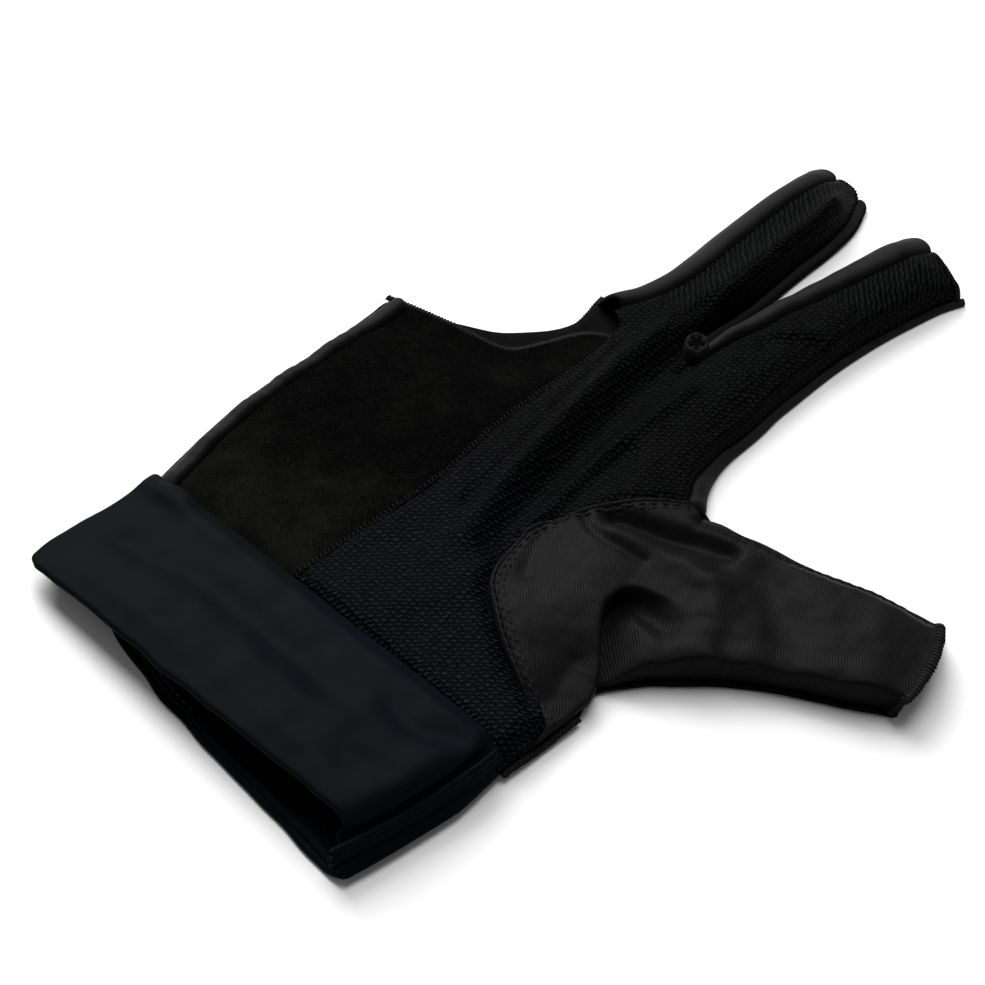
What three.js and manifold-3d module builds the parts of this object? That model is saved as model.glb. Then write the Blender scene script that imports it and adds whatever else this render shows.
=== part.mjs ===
// A left-hand billiard glove lying flat, back up: thumb, index and middle finger tubes
// that stop short of the fingertips, an open side for the other two fingers, and a wide cuff.
// Millimetres. X runs to the thumb, Y to the fingers, Z up from the table.
import * as THREE from 'three';
import { mergeVertices } from 'three/addons/utils/BufferGeometryUtils.js';
import Module from 'manifold-3d';

const wasm = await Module();
wasm.setup();

// Driving sizes
const palmWidth = 110;
const palmLength = 114;
const puff = 8.8;
const fingerWidth = 25;
const fingerLength = 70;
const thumbWidth = 28;
const thumbLength = 60;
const thumbAngle = 26.6;
const cuffWidth = 108;
const cuffHeight = 36;
const cuffRise = 13.5;
const cuffWall = 1.7;
const cloth = 1.2;
const palmCloth = 1.3;
const sideStrip = 7;
const rolledStrip = 8;
const turnedStrip = 2.6;
const walledStrip = 1.9;
const webStrip = 5.2;
const sideRound = 6;
const wallRound = 5;
const cuffEndRound = 2.2;
const edgeCord = 1.7;
const tipCord = 1.2;
const lapCord = 1.3;
const gatherWidth = 5;
const hemWidth = 5;
const hemCloth = 0.9;
const clearance = 0.3;

// Steps of a rounded side and of the tighter turn below it, and the most of a section's width
// that each may take
const sideSteps = 4;
const lowSteps = 2;
const roundShare = 0.45;
const lowShare = 0.33;
const cordSides = 6;
const gatherSides = 12;
const hemSteps = 12;

// Colours and roughness of the cloths
const knitLook = { color: 0x0d1017, roughness: 0.85 };
const meshLook = { color: 0x101013, roughness: 0.9 };
const suedeLook = { color: 0x0b0b0a, roughness: 0.95 };
const twillLook = { color: 0x1b1b1c, roughness: 0.8 };
const stripLook = { color: 0x17181a, roughness: 0.75 };
const threadLook = { color: 0x1a1a1a, roughness: 0.8 };

// Lengths that follow from the driving sizes
const cordRadius = edgeCord / 2;
const tipRadius = tipCord / 2;
const lapRadius = lapCord / 2;
const lowestBack = palmCloth + cloth + 1.2;
const sideHeight = 0.34 * puff;
const bottomRound = 0.2 * puff;
const far = 3 * palmWidth;
const tallest = 3 * puff;

// A place on the back: shares of the palm's width and of its length past the cuff.
function spot([across, along]) {
  return new THREE.Vector2(across * palmWidth, cuffHeight + along * palmLength);
}

// Outlines of the tubes, edge to edge. along counts from the tube's root, left and right from
// its own line, skew moves the right edge on and the left edge back.
const bodyRows = table(['along', 'left', 'right', 'skew'], [
  [0.0, -0.491, 0.5, 0],
  [0.11, -0.52, 0.502, 0],
  [0.21, -0.542, 0.498, 0],
  [0.31, -0.555, 0.46, 0],
  [0.44, -0.56, 0.41, 0],
  [0.57, -0.565, 0.37, 0],
  [0.68, -0.573, 0.335, 0],
  [0.75, -0.573, 0.28, 0],
  [0.83, -0.573, 0.247, 0],
  [0.93, -0.573, 0.238, 0],
  [1.0, -0.573, 0.232, 0],
]);

const middleRows = table(['along', 'left', 'right', 'skew'], [
  [-0.1, -1.15, -0.03, 0],
  [0.0, -1.11, -0.02, 0],
  [0.07, -1.03, -0.02, 0],
  [0.2, -0.96, -0.03, 0],
  [0.34, -0.98, -0.04, 0],
  [0.53, -1.03, -0.09, 0],
  [0.76, -1.07, -0.13, 0],
  [0.89, -1.08, -0.2, 0],
  [1.0, -1.08, -0.34, 0],
]);

const indexRows = table(['along', 'left', 'right', 'skew'], [
  [-0.1, 0.02, 1.03, 0],
  [0.0, 0.02, 1.0, 0],
  [0.07, 0.02, 0.99, 0],
  [0.2, 0.03, 0.97, 0],
  [0.34, 0.05, 0.96, 0],
  [0.53, 0.11, 0.99, 0],
  [0.74, 0.17, 1.07, -0.01],
  [0.83, 0.2, 1.11, -0.03],
  [0.905, 0.245, 1.17, -0.045],
]);

const thumbRows = table(['along', 'left', 'right', 'skew'], [
  [-0.3, 0.9, -1.1, 0],
  [-0.1, 0.95, -0.98, 0],
  [0.0, 0.965, -0.82, 0],
  [0.12, 0.95, -0.655, 0],
  [0.33, 0.85, -0.53, 0],
  [0.56, 0.715, -0.47, 0],
  [0.77, 0.62, -0.45, 0],
  [1.0, 0.5, -0.5, 0],
]);

// Ridges (lift above 0) and dents (below 0) of the back: three spots that each runs through,
// its lift as a share of the puff and its spread as a share of the palm's width.
const folds = table(['start', 'middle', 'end', 'lift', 'spread'], [
  [[0.1, 0.3], [-0.036, 0.772], [-0.073, 1.51], 0.2, 0.045],
  [[0.01, 0.34], [-0.064, 0.63], [-0.1, 0.895], -0.14, 0.03],
  [[0.1, 0.38], [-0.01, 0.746], [-0.036, 1.05], -0.15, 0.035],
  [[0.145, 0.47], [0.118, 0.65], [0.14, 0.83], -0.15, 0.04],
  [[0.05, 0.05], [0.14, 0.2], [0.1, 0.4], 0.1, 0.07],
  [[-0.36, 0.1], [-0.36, 0.4], [-0.34, 0.68], -0.16, 0.15],
  [[0.15, 1.0], [0.18, 1.3], [0.2, 1.55], 0.12, 0.06],
  [[0.3, 0.25], [0.34, 0.35], [0.27, 0.52], 0.16, 0.07],
  [[0.415, 0.33], [0.4, 0.42], [0.45, 0.46], -0.5, 0.04],
  [[0.25, 0.54], [0.34, 0.57], [0.46, 0.6], -0.2, 0.035],
  [[0.43, 0.56], [0.52, 0.5], [0.56, 0.44], 0.12, 0.04],
  [[0.55, 0.62], [0.63, 0.58], [0.68, 0.55], -0.2, 0.045],
  [[0.7, 0.66], [0.8, 0.68], [0.88, 0.7], 0.06, 0.07],
]);

// Seam lines and free edges on the back, as spots that a smooth line runs through.
const suedeSeamSpots = [
  [-0.073, -0.06], [-0.073, 0.21], [-0.075, 0.38], [-0.1, 0.535], [-0.11, 0.675], [-0.118, 0.825],
  [-0.135, 0.925],
];
const suedeEdgeSpots = [
  [-0.64, 0.672], [-0.573, 0.68], [-0.445, 0.71], [-0.345, 0.728], [-0.273, 0.746], [-0.236, 0.8],
  [-0.2, 0.868], [-0.164, 0.895], [-0.123, 0.904],
];
const palmEdgeSpots = [
  [-0.64, 0.69], [-0.565, 0.7], [-0.455, 0.728], [-0.345, 0.772], [-0.273, 0.842], [-0.245, 0.904],
  [-0.255, 0.965], [-0.275, 1.015],
];
const thumbSeamSpots = [
  [0.315, 0.675], [0.227, 0.57], [0.173, 0.465], [0.155, 0.404], [0.164, 0.342], [0.2, 0.263],
  [0.255, 0.219], [0.327, 0.175], [0.418, 0.136], [0.509, 0.105], [0.58, 0.085],
];
const stripRootSpots = [[-0.15, 0.965], [-0.19, 0.97], [-0.268, 1.0], [-0.3, 1.02]];

// Cuff sections across the arm: along from the mouth as a share of the cuff's height, ends as
// shares of its width, and the heights of its upper and lower side as shares of its rise.
const cuffRows = table(['along', 'left', 'right', 'skew', 'high'], [
  [-0.06, -0.487, 0.472, -0.06, 0.97],
  [0.1, -0.492, 0.485, -0.04, 1.0],
  [0.35, -0.496, 0.498, -0.02, 0.98],
  [0.6, -0.496, 0.508, 0, 0.93],
  [0.85, -0.494, 0.512, 0, 0.86],
  [1.0, -0.492, 0.508, 0, 0.78],
]);
const cuffProfile = table(['across', 'upper', 'lower'], [
  [-0.5, 0.6, 0.22],
  [-0.42, 0.66, 0.16],
  [-0.3, 0.74, 0.03],
  [-0.2, 0.8, 0],
  [0.1, 0.88, 0],
  [0.3, 0.95, 0],
  [0.5, 1.0, 0],
]);

function table(columns, rows) {
  return rows.map((row) => Object.fromEntries(columns.map((name, i) => [name, row[i]])));
}

// Value of a column between the rows of a table, along a straight line from row to row.
function between(rows, key, name, at) {
  const last = rows.length - 1;
  let i = 0;
  while (i < last - 1 && rows[i + 1][key] < at) i += 1;
  const span = rows[i + 1][key] - rows[i][key];
  const share = THREE.MathUtils.clamp((at - rows[i][key]) / span, 0, 1);
  return THREE.MathUtils.lerp(rows[i][name], rows[i + 1][name], share);
}

function smoothLine(points, steps) {
  return new THREE.SplineCurve(points).getPoints(steps);
}

const foldLines = folds.map((fold) => ({
  line: smoothLine([fold.start, fold.middle, fold.end].map(spot), 10),
  lift: fold.lift * puff,
  spread: fold.spread * palmWidth,
}));

function distanceToLine(x, y, line) {
  let nearest = Infinity;
  for (let i = 0; i + 1 < line.length; i += 1) {
    const a = line[i];
    const b = line[i + 1];
    const run = (b.x - a.x) ** 2 + (b.y - a.y) ** 2;
    const share = THREE.MathUtils.clamp(((x - a.x) * (b.x - a.x) + (y - a.y) * (b.y - a.y)) / run, 0, 1);
    nearest = Math.min(nearest, Math.hypot(x - a.x - share * (b.x - a.x), y - a.y - share * (b.y - a.y)));
  }
  return nearest;
}

// Height of the back above the table, before its edges are rounded.
function backHeight(x, y) {
  let height = puff;
  for (const fold of foldLines) {
    height += fold.lift * Math.exp(-((distanceToLine(x, y, fold.line) / fold.spread) ** 2));
  }
  return Math.max(height, lowestBack);
}

// The two edges of a tube as smooth lines from its root to its tip.
function tubeEdges(rows, root, forward, sideways, length, width) {
  const place = (row, side, sign) => root.clone()
    .addScaledVector(forward, (row.along + sign * row.skew) * length)
    .addScaledVector(sideways, row[side] * width);
  return {
    left: new THREE.SplineCurve(rows.map((row) => place(row, 'left', -1))),
    right: new THREE.SplineCurve(rows.map((row) => place(row, 'right', 1))),
  };
}

const ahead = new THREE.Vector2(0, 1);
const across = new THREE.Vector2(1, 0);
const thumbTurn = THREE.MathUtils.degToRad(thumbAngle);
const thumbAhead = new THREE.Vector2(Math.cos(thumbTurn), Math.sin(thumbTurn));
const thumbAcross = new THREE.Vector2(-Math.sin(thumbTurn), Math.cos(thumbTurn));
const fingerRoot = spot([0, 1]);
const thumbRoot = spot([0.396, 0.464]);
const bodyRoot = spot([0, 0]).add(new THREE.Vector2(0, clearance));
const mouthMiddle = new THREE.Vector2(0, 0);

const body = tubeEdges(bodyRows, bodyRoot, ahead, across, palmLength, palmWidth);
const middle = tubeEdges(middleRows, fingerRoot, ahead, across, fingerLength, fingerWidth);
const index = tubeEdges(indexRows, fingerRoot, ahead, across, fingerLength, fingerWidth);
const thumb = tubeEdges(thumbRows, thumbRoot, thumbAhead, thumbAcross, thumbLength, thumbWidth);
const cuff = tubeEdges(cuffRows, mouthMiddle, ahead, across, cuffHeight, cuffWidth);

// One flattened cross-section of a tube, from its left edge over the top to the right edge and
// back below. The inset moves its ends inwards by a wall; upper, lower and side give heights.
function section(left, right, round, inset, upper, lower, side) {
  const inward = right.clone().sub(left);
  const width = inward.length() - 2 * inset;
  inward.normalize();
  const start = left.clone().addScaledVector(inward, inset);
  const points = [];
  const add = (distance, height) => {
    const place = start.clone().addScaledVector(inward, distance);
    points.push(new THREE.Vector3(place.x, place.y, height(place)));
  };
  const leftRound = Math.min(Math.max(round.left - inset, clearance), roundShare * width);
  const rightRound = Math.min(Math.max(round.right - inset, clearance), roundShare * width);
  const sideTurn = Math.PI / 2 / sideSteps;
  const lowTurn = Math.PI / 2 / lowSteps;
  const rise = (turn) => (place) => side(place) + (upper(place) - side(place)) * Math.sin(turn);
  const drop = (turn) => (place) => side(place) - (side(place) - lower(place)) * Math.sin(turn);
  for (let i = 0; i < sideSteps; i += 1) {
    add(leftRound * (1 - Math.cos(i * sideTurn)), rise(i * sideTurn));
  }
  for (let i = 0; i <= round.steps; i += 1) {
    add(leftRound + (width - leftRound - rightRound) * i / round.steps, upper);
  }
  for (let i = sideSteps - 1; i >= 0; i -= 1) {
    add(width - rightRound * (1 - Math.cos(i * sideTurn)), rise(i * sideTurn));
  }
  const low = Math.min(bottomRound, lowShare * width);
  for (let i = 1; i <= lowSteps; i += 1) {
    add(width - low * (1 - Math.cos(i * lowTurn)), drop(i * lowTurn));
  }
  for (let i = round.under - 1; i > 0; i -= 1) add(low + (width - 2 * low) * i / round.under, lower);
  for (let i = lowSteps; i > 0; i -= 1) add(low * (1 - Math.cos(i * lowTurn)), drop(i * lowTurn));
  return points;
}

// Skin over a row of rings; a closed row joins its last ring to its first.
function skin(rings, closed = false) {
  const size = rings[0].length;
  const positions = rings.flat().flatMap((point) => point.toArray());
  const faces = [];
  const count = closed ? rings.length : rings.length - 1;
  for (let i = 0; i < count; i += 1) {
    const next = (i + 1) % rings.length;
    for (let k = 0; k < size; k += 1) {
      const a = i * size + k;
      const b = i * size + (k + 1) % size;
      const c = next * size + (k + 1) % size;
      const d = next * size + k;
      faces.push(a, b, c, a, c, d);
    }
  }
  if (!closed) {
    for (const [ring, flip] of [[0, true], [rings.length - 1, false]]) {
      for (const [a, b, c] of flatCap(rings[ring])) {
        const base = ring * size;
        if (flip) faces.push(base + a, base + c, base + b);
        else faces.push(base + a, base + b, base + c);
      }
    }
  }
  const geometry = new THREE.BufferGeometry();
  geometry.setAttribute('position', new THREE.Float32BufferAttribute(positions, 3));
  geometry.setIndex(faces);
  return geometry;
}

// Triangles that close a flat ring, seen along the ring's own plane, in the ring's own turn.
function flatCap(ring) {
  const middlePoint = sumOf(ring).divideScalar(ring.length);
  const normal = new THREE.Vector3();
  for (let i = 0; i < ring.length; i += 1) {
    const a = ring[i].clone().sub(middlePoint);
    normal.add(a.cross(ring[(i + 1) % ring.length].clone().sub(middlePoint)));
  }
  normal.normalize();
  const sideways = ring[0].clone().sub(middlePoint).normalize();
  const upwards = normal.clone().cross(sideways);
  const flat = ring.map((point) => {
    const offset = point.clone().sub(middlePoint);
    return new THREE.Vector2(offset.dot(sideways), offset.dot(upwards));
  });
  return THREE.ShapeUtils.triangulateShape(flat, []);
}

function solidOf(geometry) {
  const bare = geometry.index ? geometry : geometry.clone();
  bare.deleteAttribute('normal');
  bare.deleteAttribute('uv');
  const merged = mergeVertices(bare, 1e-4);
  const triVerts = Uint32Array.from(merged.index.array);
  const vertProperties = Float32Array.from(merged.attributes.position.array);
  return new wasm.Manifold(new wasm.Mesh({ numProp: 3, vertProperties, triVerts }));
}

function geometryOf(solid) {
  const mesh = solid.getMesh();
  const geometry = new THREE.BufferGeometry();
  geometry.setAttribute('position', new THREE.Float32BufferAttribute(mesh.vertProperties, 3));
  geometry.setIndex(Array.from(mesh.triVerts));
  geometry.computeVertexNormals();
  return geometry;
}

function sumOf(points) {
  return points.reduce((sum, point) => sum.add(point), new THREE.Vector3());
}

// A ring moved on along the tube, away from its neighbour.
function shifted(ring, neighbour, amount) {
  const way = sumOf(ring).sub(sumOf(neighbour)).setZ(0).normalize();
  return ring.map((point) => point.clone().addScaledVector(way, amount));
}

// A tube of the glove as its outer form (no inset) or as its hollow (inset by the wall), with
// the ends moved on by the lengths in reach.
function tubeSolid(edges, round, shape, inset, reach) {
  const rings = [];
  for (let i = 0; i <= round.stations; i += 1) {
    const left = edges.left.getPoint(i / round.stations);
    const right = edges.right.getPoint(i / round.stations);
    rings.push(section(left, right, round, inset, shape.upper, shape.lower, shape.side));
  }
  const last = rings.length - 1;
  const end = shifted(rings[last], rings[last - 1], reach.end);
  const kept = reach.end > 0 ? [...rings, end] : [...rings.slice(0, last), end];
  if (reach.start > 0) kept.unshift(shifted(rings[0], rings[1], reach.start));
  return solidOf(skin(kept));
}

const outside = {
  upper: (place) => backHeight(place.x, place.y),
  lower: () => 0,
  side: () => sideHeight,
};
const inside = {
  upper: (place) => backHeight(place.x, place.y) - cloth,
  lower: () => -cloth,
  side: () => sideHeight,
};
const bodyRound = { left: sideRound, right: wallRound, steps: 13, under: 1, stations: 19 };
const middleRound = { left: rolledStrip, right: wallRound, steps: 3, under: 1, stations: 11 };
const indexRound = { left: rolledStrip, right: 0.8 * wallRound, steps: 3, under: 1, stations: 11 };
const thumbRound = { left: wallRound, right: wallRound, steps: 7, under: 1, stations: 15 };

// The whole glove past the cuff, and the room for the hand inside it.
function gloveForm() {
  const none = { start: 0, end: 0 };
  return tubeSolid(body, bodyRound, outside, 0, none)
    .add(tubeSolid(middle, middleRound, outside, 0, none))
    .add(tubeSolid(index, indexRound, outside, 0, none))
    .add(tubeSolid(thumb, thumbRound, outside, 0, none));
}

function gloveHollow() {
  const open = { start: 0, end: edgeCord };
  return tubeSolid(body, bodyRound, inside, cloth, { start: edgeCord, end: -cloth })
    .add(tubeSolid(middle, middleRound, inside, cloth, open))
    .add(tubeSolid(index, indexRound, inside, cloth, open))
    .add(tubeSolid(thumb, thumbRound, inside, cloth, open));
}

// Everything inside an outline on the table, between two heights.
function prism(outline, low, high) {
  const shape = new THREE.Shape(outline);
  const geometry = new THREE.ExtrudeGeometry(shape, { depth: high - low, bevelEnabled: false });
  geometry.translate(0, 0, low);
  return solidOf(geometry);
}

// The line moved sideways: to its left for a distance above 0.
function besideLine(line, distance) {
  return line.map((point, i) => {
    const before = line[Math.max(i - 1, 0)];
    const after = line[Math.min(i + 1, line.length - 1)];
    const way = after.clone().sub(before).normalize();
    const step = typeof distance === 'function' ? distance(i / (line.length - 1)) : distance;
    return new THREE.Vector2(point.x - way.y * step, point.y + way.x * step);
  });
}

// The narrow gap that a seam leaves between two cloths.
function seamCut(line, width) {
  const leftSide = besideLine(line, width / 2);
  const rightSide = besideLine(line, -width / 2);
  return solidOf(skin(line.map((point, i) => [
    new THREE.Vector3(leftSide[i].x, leftSide[i].y, -cloth),
    new THREE.Vector3(leftSide[i].x, leftSide[i].y, tallest),
    new THREE.Vector3(rightSide[i].x, rightSide[i].y, tallest),
    new THREE.Vector3(rightSide[i].x, rightSide[i].y, -cloth),
  ])));
}

// Seam lines on the back
const suedeSeam = smoothLine(suedeSeamSpots.map(spot), 14);
const suedeCutEdge = smoothLine(suedeEdgeSpots.map(spot), 18);
const suedeEdge = smoothLine(suedeEdgeSpots.slice(1).map(spot), 16);
const palmCutEdge = smoothLine(palmEdgeSpots.map(spot), 16);
const palmEdge = smoothLine(palmEdgeSpots.slice(1).map(spot), 14);
const stripRoot = stripRootSpots.map(spot);
const thumbSeam = smoothLine(thumbSeamSpots.map(spot), 20);
const past = edgeCord + 2 * clearance;

// A line that keeps its distance from one edge of a tube and runs on past both its ends.
function seamBeside(edge, steps, distance) {
  const line = besideLine(edge.getPoints(steps), distance);
  const last = line.length - 1;
  const way = line[last].clone().sub(line[last - 1]).normalize();
  const back = line[0].clone().sub(line[1]).normalize();
  const before = line[0].clone().addScaledVector(back, past);
  const after = line[last].clone().addScaledVector(way, past);
  return [before, ...line, after];
}

const sideSeam = seamBeside(body.left, 20, -sideStrip);
const middleLeftSeam = seamBeside(middle.left, 11, -rolledStrip);
const middleRightSeam = seamBeside(middle.right, 11, turnedStrip);
const indexLeftSeam = seamBeside(index.left, 11, -rolledStrip);
const webSpot = spot(thumbSeamSpots[0]);
const pastWeb = (point) => point.y > webSpot.y + webStrip / 2;
const indexWall = [
  ...besideLine(body.right.getPoints(26), walledStrip).filter((p) => pastWeb(p) && p.y < fingerRoot.y),
  ...seamBeside(index.right, 11, walledStrip).filter((p) => p.y > fingerRoot.y),
];
const indexRightSeam = [webSpot, ...indexWall];
const taper = (share) => -THREE.MathUtils.lerp(webStrip, walledStrip, share);
const besideWeb = (point) => point.x > webSpot.x + webStrip / 2;
const webSeam = [webSpot, ...seamBeside(thumb.left, 18, taper).filter(besideWeb)];
const webEnd = [webSpot, webSpot.clone().add(new THREE.Vector2(webStrip, 2 * webStrip))];
const crotchLine = fingerRoot.y - cloth - clearance;
const aboveCrotch = (point) => point.y > crotchLine;
const crotchLeft = beyond(middleRightSeam.find(aboveCrotch).x, crotchLine);
const crotchRight = beyond(indexLeftSeam.find(aboveCrotch).x, crotchLine);
const crotchSeam = [
  beyond(crotchLeft.x - cloth, crotchLine),
  beyond(crotchRight.x + cloth, crotchLine),
];
const fingerGap = [beyond(0, crotchLine), beyond(0, crotchLine + rolledStrip)];

function beyond(x, y) {
  return new THREE.Vector2(x, y);
}

function reversed(line) {
  return [...line].reverse();
}

function lastOf(line) {
  return line[line.length - 1];
}

function circle(middlePoint, radius, sides) {
  const points = [];
  for (let i = 0; i < sides; i += 1) {
    const turn = i / sides * 2 * Math.PI;
    points.push(beyond(middlePoint.x + radius * Math.cos(turn), middlePoint.y + radius * Math.sin(turn)));
  }
  return points;
}

// What is taken out of the skin: the little-finger side, the seams and the gather's seat.
const stripFloor = palmCloth + clearance;
const gatherFloor = palmCloth + 2 * cloth;
const gatherSpot = spot([0.012, 0.995]);
const openingCut = prism(
  [...suedeCutEdge, ...stripRoot, beyond(-far, lastOf(stripRoot).y), beyond(-far, suedeCutEdge[0].y)],
  stripFloor,
  tallest,
);
const gatherCut = prism(circle(gatherSpot, gatherWidth / 2 + clearance, gatherSides), gatherFloor, tallest);
const plainSeams = [
  suedeSeam, sideSeam, middleLeftSeam, middleRightSeam, indexLeftSeam, indexRightSeam, webSeam,
  webEnd, crotchSeam, fingerGap,
];
const seamCuts = plainSeams.reduce(
  (sum, line) => sum.add(seamCut(line, clearance)),
  seamCut(thumbSeam, lapCord + 2 * clearance),
);

// The whole cloth skin above the palm, open at the cuff, the tips and the little-finger side.
const everywhere = [beyond(-far, -far), beyond(far, -far), beyond(far, far), beyond(-far, far)];
const gloveOuter = gloveForm();
const backSkin = gloveOuter.subtract(gloveHollow())
  .intersect(prism(everywhere, stripFloor, tallest))
  .subtract(openingCut)
  .subtract(gatherCut)
  .subtract(seamCuts);

// One cloth of the back: the part of the skin inside its outline.
function backPanel(outline) {
  return geometryOf(backSkin.intersect(prism(outline, 0, tallest)));
}

const wristLine = 0.9 * cuffHeight;

function suedeOutline() {
  return [
    beyond(suedeSeam[0].x, wristLine), ...suedeSeam.slice(1), ...stripRoot.slice(0, 3),
    beyond(lastOf(sideSeam).x, fingerRoot.y), ...reversed(sideSeam.filter((p) => p.y < fingerRoot.y)),
    beyond(sideSeam[0].x, wristLine),
  ];
}

function meshOutline() {
  const middleLeft = middleLeftSeam.filter((point) => point.y > stripRoot[0].y);
  return [
    beyond(suedeSeam[0].x, wristLine), ...suedeSeam.slice(1), stripRoot[0], ...middleLeft,
    ...reversed(middleRightSeam.filter(aboveCrotch)), crotchLeft, crotchRight,
    ...indexLeftSeam.filter(aboveCrotch), ...reversed(indexRightSeam),
    ...thumbSeam.slice(1), beyond(lastOf(thumbSeam).x, wristLine),
  ];
}

function thumbOutline() {
  return [
    ...webSeam, beyond(far, lastOf(webSeam).y), beyond(far, lastOf(thumbSeam).y),
    ...reversed(thumbSeam).slice(0, -1),
  ];
}

function addPanels() {
  const tipLine = lastOf(middleLeftSeam).y + past;
  addPiece('back_mesh', backPanel(meshOutline()), meshLook);
  addPiece('back_suede', backPanel(suedeOutline()), suedeLook);
  addPiece('thumb_panel', backPanel(thumbOutline()), twillLook);
  addPiece('little_finger_side_strip', backPanel([
    beyond(-far, wristLine), beyond(sideSeam[0].x, wristLine), ...sideSeam,
    beyond(-far, lastOf(sideSeam).y),
  ]), stripLook);
  addPiece('middle_outer_strip', backPanel([
    beyond(-far, middleLeftSeam[0].y), ...middleLeftSeam, beyond(lastOf(middleLeftSeam).x, tipLine),
    beyond(-far, tipLine),
  ]), stripLook);
  addPiece('middle_inner_strip', backPanel([
    beyond(0, crotchLine), beyond(0, tipLine), beyond(lastOf(middleRightSeam).x, tipLine),
    ...reversed(middleRightSeam.filter(aboveCrotch)), crotchLeft,
  ]), stripLook);
  addPiece('index_outer_strip', backPanel([
    beyond(0, crotchLine), crotchRight, ...indexLeftSeam.filter(aboveCrotch),
    beyond(lastOf(indexLeftSeam).x, tipLine), beyond(0, tipLine),
  ]), stripLook);
  addPiece('index_web_strip', backPanel([
    ...indexRightSeam, beyond(lastOf(webEnd).x, lastOf(indexRightSeam).y), lastOf(webEnd),
  ]), stripLook);
  addPiece('thumb_web_strip', backPanel([
    lastOf(webEnd), ...webSeam, lastOf(webSeam).clone().addScaledVector(thumbAcross, thumbWidth),
  ]), stripLook);
}

// The lower layer of the whole glove, flat on the table, with its own free edge.
function addPalm() {
  const outline = [
    ...palmCutEdge, beyond(lastOf(palmCutEdge).x, far), beyond(far, far), beyond(far, -far),
    beyond(-far, -far), beyond(-far, palmCutEdge[0].y),
  ];
  addPiece('palm_panel', geometryOf(gloveOuter.intersect(prism(outline, -cloth, palmCloth))), meshLook);
}

// Height of the back at a place, with the rounding towards the sides of the palm.
function surfaceHeight(place) {
  const top = backHeight(place.x, place.y);
  const toLeft = distanceToLine(place.x, place.y, body.left.getPoints(20)) / bodyRound.left;
  const toRight = distanceToLine(place.x, place.y, body.right.getPoints(20)) / bodyRound.right;
  const share = Math.min(toLeft, toRight, 1);
  return sideHeight + (top - sideHeight) * Math.sqrt(1 - (1 - share) ** 2);
}

// A cord of thread or cloth along a line in space.
function cordAlong(points, radius, closed = false) {
  const up = new THREE.Vector3(0, 0, 1);
  const last = points.length - 1;
  const rings = points.map((point, i) => {
    const before = closed ? points[(i + last) % (last + 1)] : points[Math.max(i - 1, 0)];
    const after = closed ? points[(i + 1) % (last + 1)] : points[Math.min(i + 1, last)];
    const way = after.clone().sub(before).normalize();
    const sideways = way.clone().cross(up).normalize();
    const upwards = sideways.clone().cross(way);
    return Array.from({ length: cordSides }, (unused, k) => {
      const turn = k / cordSides * 2 * Math.PI;
      return point.clone()
        .addScaledVector(sideways, -radius * Math.cos(turn))
        .addScaledVector(upwards, radius * Math.sin(turn));
    });
  });
  return geometryOf(solidOf(skin(rings, closed)));
}

function raised(line, height) {
  return line.map((point) => new THREE.Vector3(point.x, point.y, height(point)));
}

// The closed cord round the end of a finger or thumb tube, just past its cloth.
function tipRing(edges, round, forward, radius) {
  const reach = clearance + radius;
  const left = edges.left.getPoint(1).addScaledVector(forward, reach);
  const right = edges.right.getPoint(1).addScaledVector(forward, reach);
  return section(
    left,
    right,
    round,
    radius,
    (place) => backHeight(place.x, place.y) - radius,
    () => radius,
    () => sideHeight,
  );
}

// The overlocked edges, the cords round the tube ends and the lap seam of the thumb.
function addEdges() {
  const reach = cordRadius + clearance;
  const onTop = (point) => surfaceHeight(point) - cordRadius;
  const shortOfMesh = (point) => point.x < lastOf(suedeEdge).x - edgeCord;
  const suedeFree = besideLine(suedeEdge, reach).filter(shortOfMesh);
  const palmFree = raised(besideLine(palmEdge, reach), () => cordRadius);
  addPiece('suede_overlock', cordAlong(raised(suedeFree, onTop), cordRadius), threadLook);
  addPiece('palm_overlock', cordAlong(palmFree, cordRadius), threadLook);
  const besideCuff = (point) => point.y < spot([0, 0.23]).y;
  const wristSide = besideLine(body.right.getPoints(40), -reach).filter(besideCuff);
  addPiece('side_seam_overlock', cordAlong(raised(wristSide, () => sideHeight), cordRadius), threadLook);
  const thumbEnd = tipRing(thumb, thumbRound, thumbAhead, cordRadius);
  addPiece('thumb_overlock', cordAlong(thumbEnd, cordRadius, true), threadLook);
  const middleEnd = tipRing(middle, middleRound, ahead, tipRadius);
  addPiece('middle_tip_overlock', cordAlong(middleEnd, tipRadius, true), threadLook);
  const indexEnd = tipRing(index, indexRound, ahead, tipRadius);
  addPiece('index_tip_overlock', cordAlong(indexEnd, tipRadius, true), threadLook);
  const lap = thumbSeam.filter((point) => point.x < body.right.getPoint(0.1).x - lapCord);
  const lapLine = raised(lap, (point) => surfaceHeight(point) - lapRadius);
  addPiece('thumb_lap_seam', cordAlong(lapLine, lapRadius), twillLook);
}

// The puckered end of the strips, rolled up at the crotch of the fingers.
function addGather() {
  const radius = gatherWidth / 2;
  const low = gatherFloor + clearance;
  const high = puff + cloth / 2;
  const profile = [
    [0, low],
    [radius, low],
    [radius, high - cloth],
    [0.75 * radius, high],
    [0.35 * radius, high - cloth / 3],
    [0, high - cloth],
  ].map(([x, y]) => new THREE.Vector2(x, y));
  const geometry = new THREE.LatheGeometry(profile, gatherSides);
  geometry.rotateX(Math.PI / 2);
  geometry.translate(gatherSpot.x, gatherSpot.y, 0);
  addPiece('crotch_gather', geometryOf(solidOf(geometry)), stripLook);
}

// The cuff: a doubled band, open at both ends, flat below and puffed up towards the thumb.
const cuffRound = { left: cuffEndRound, right: wallRound, steps: 12, under: 7, stations: 8 };

const cuffShare = (place) => place.x / cuffWidth;

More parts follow.
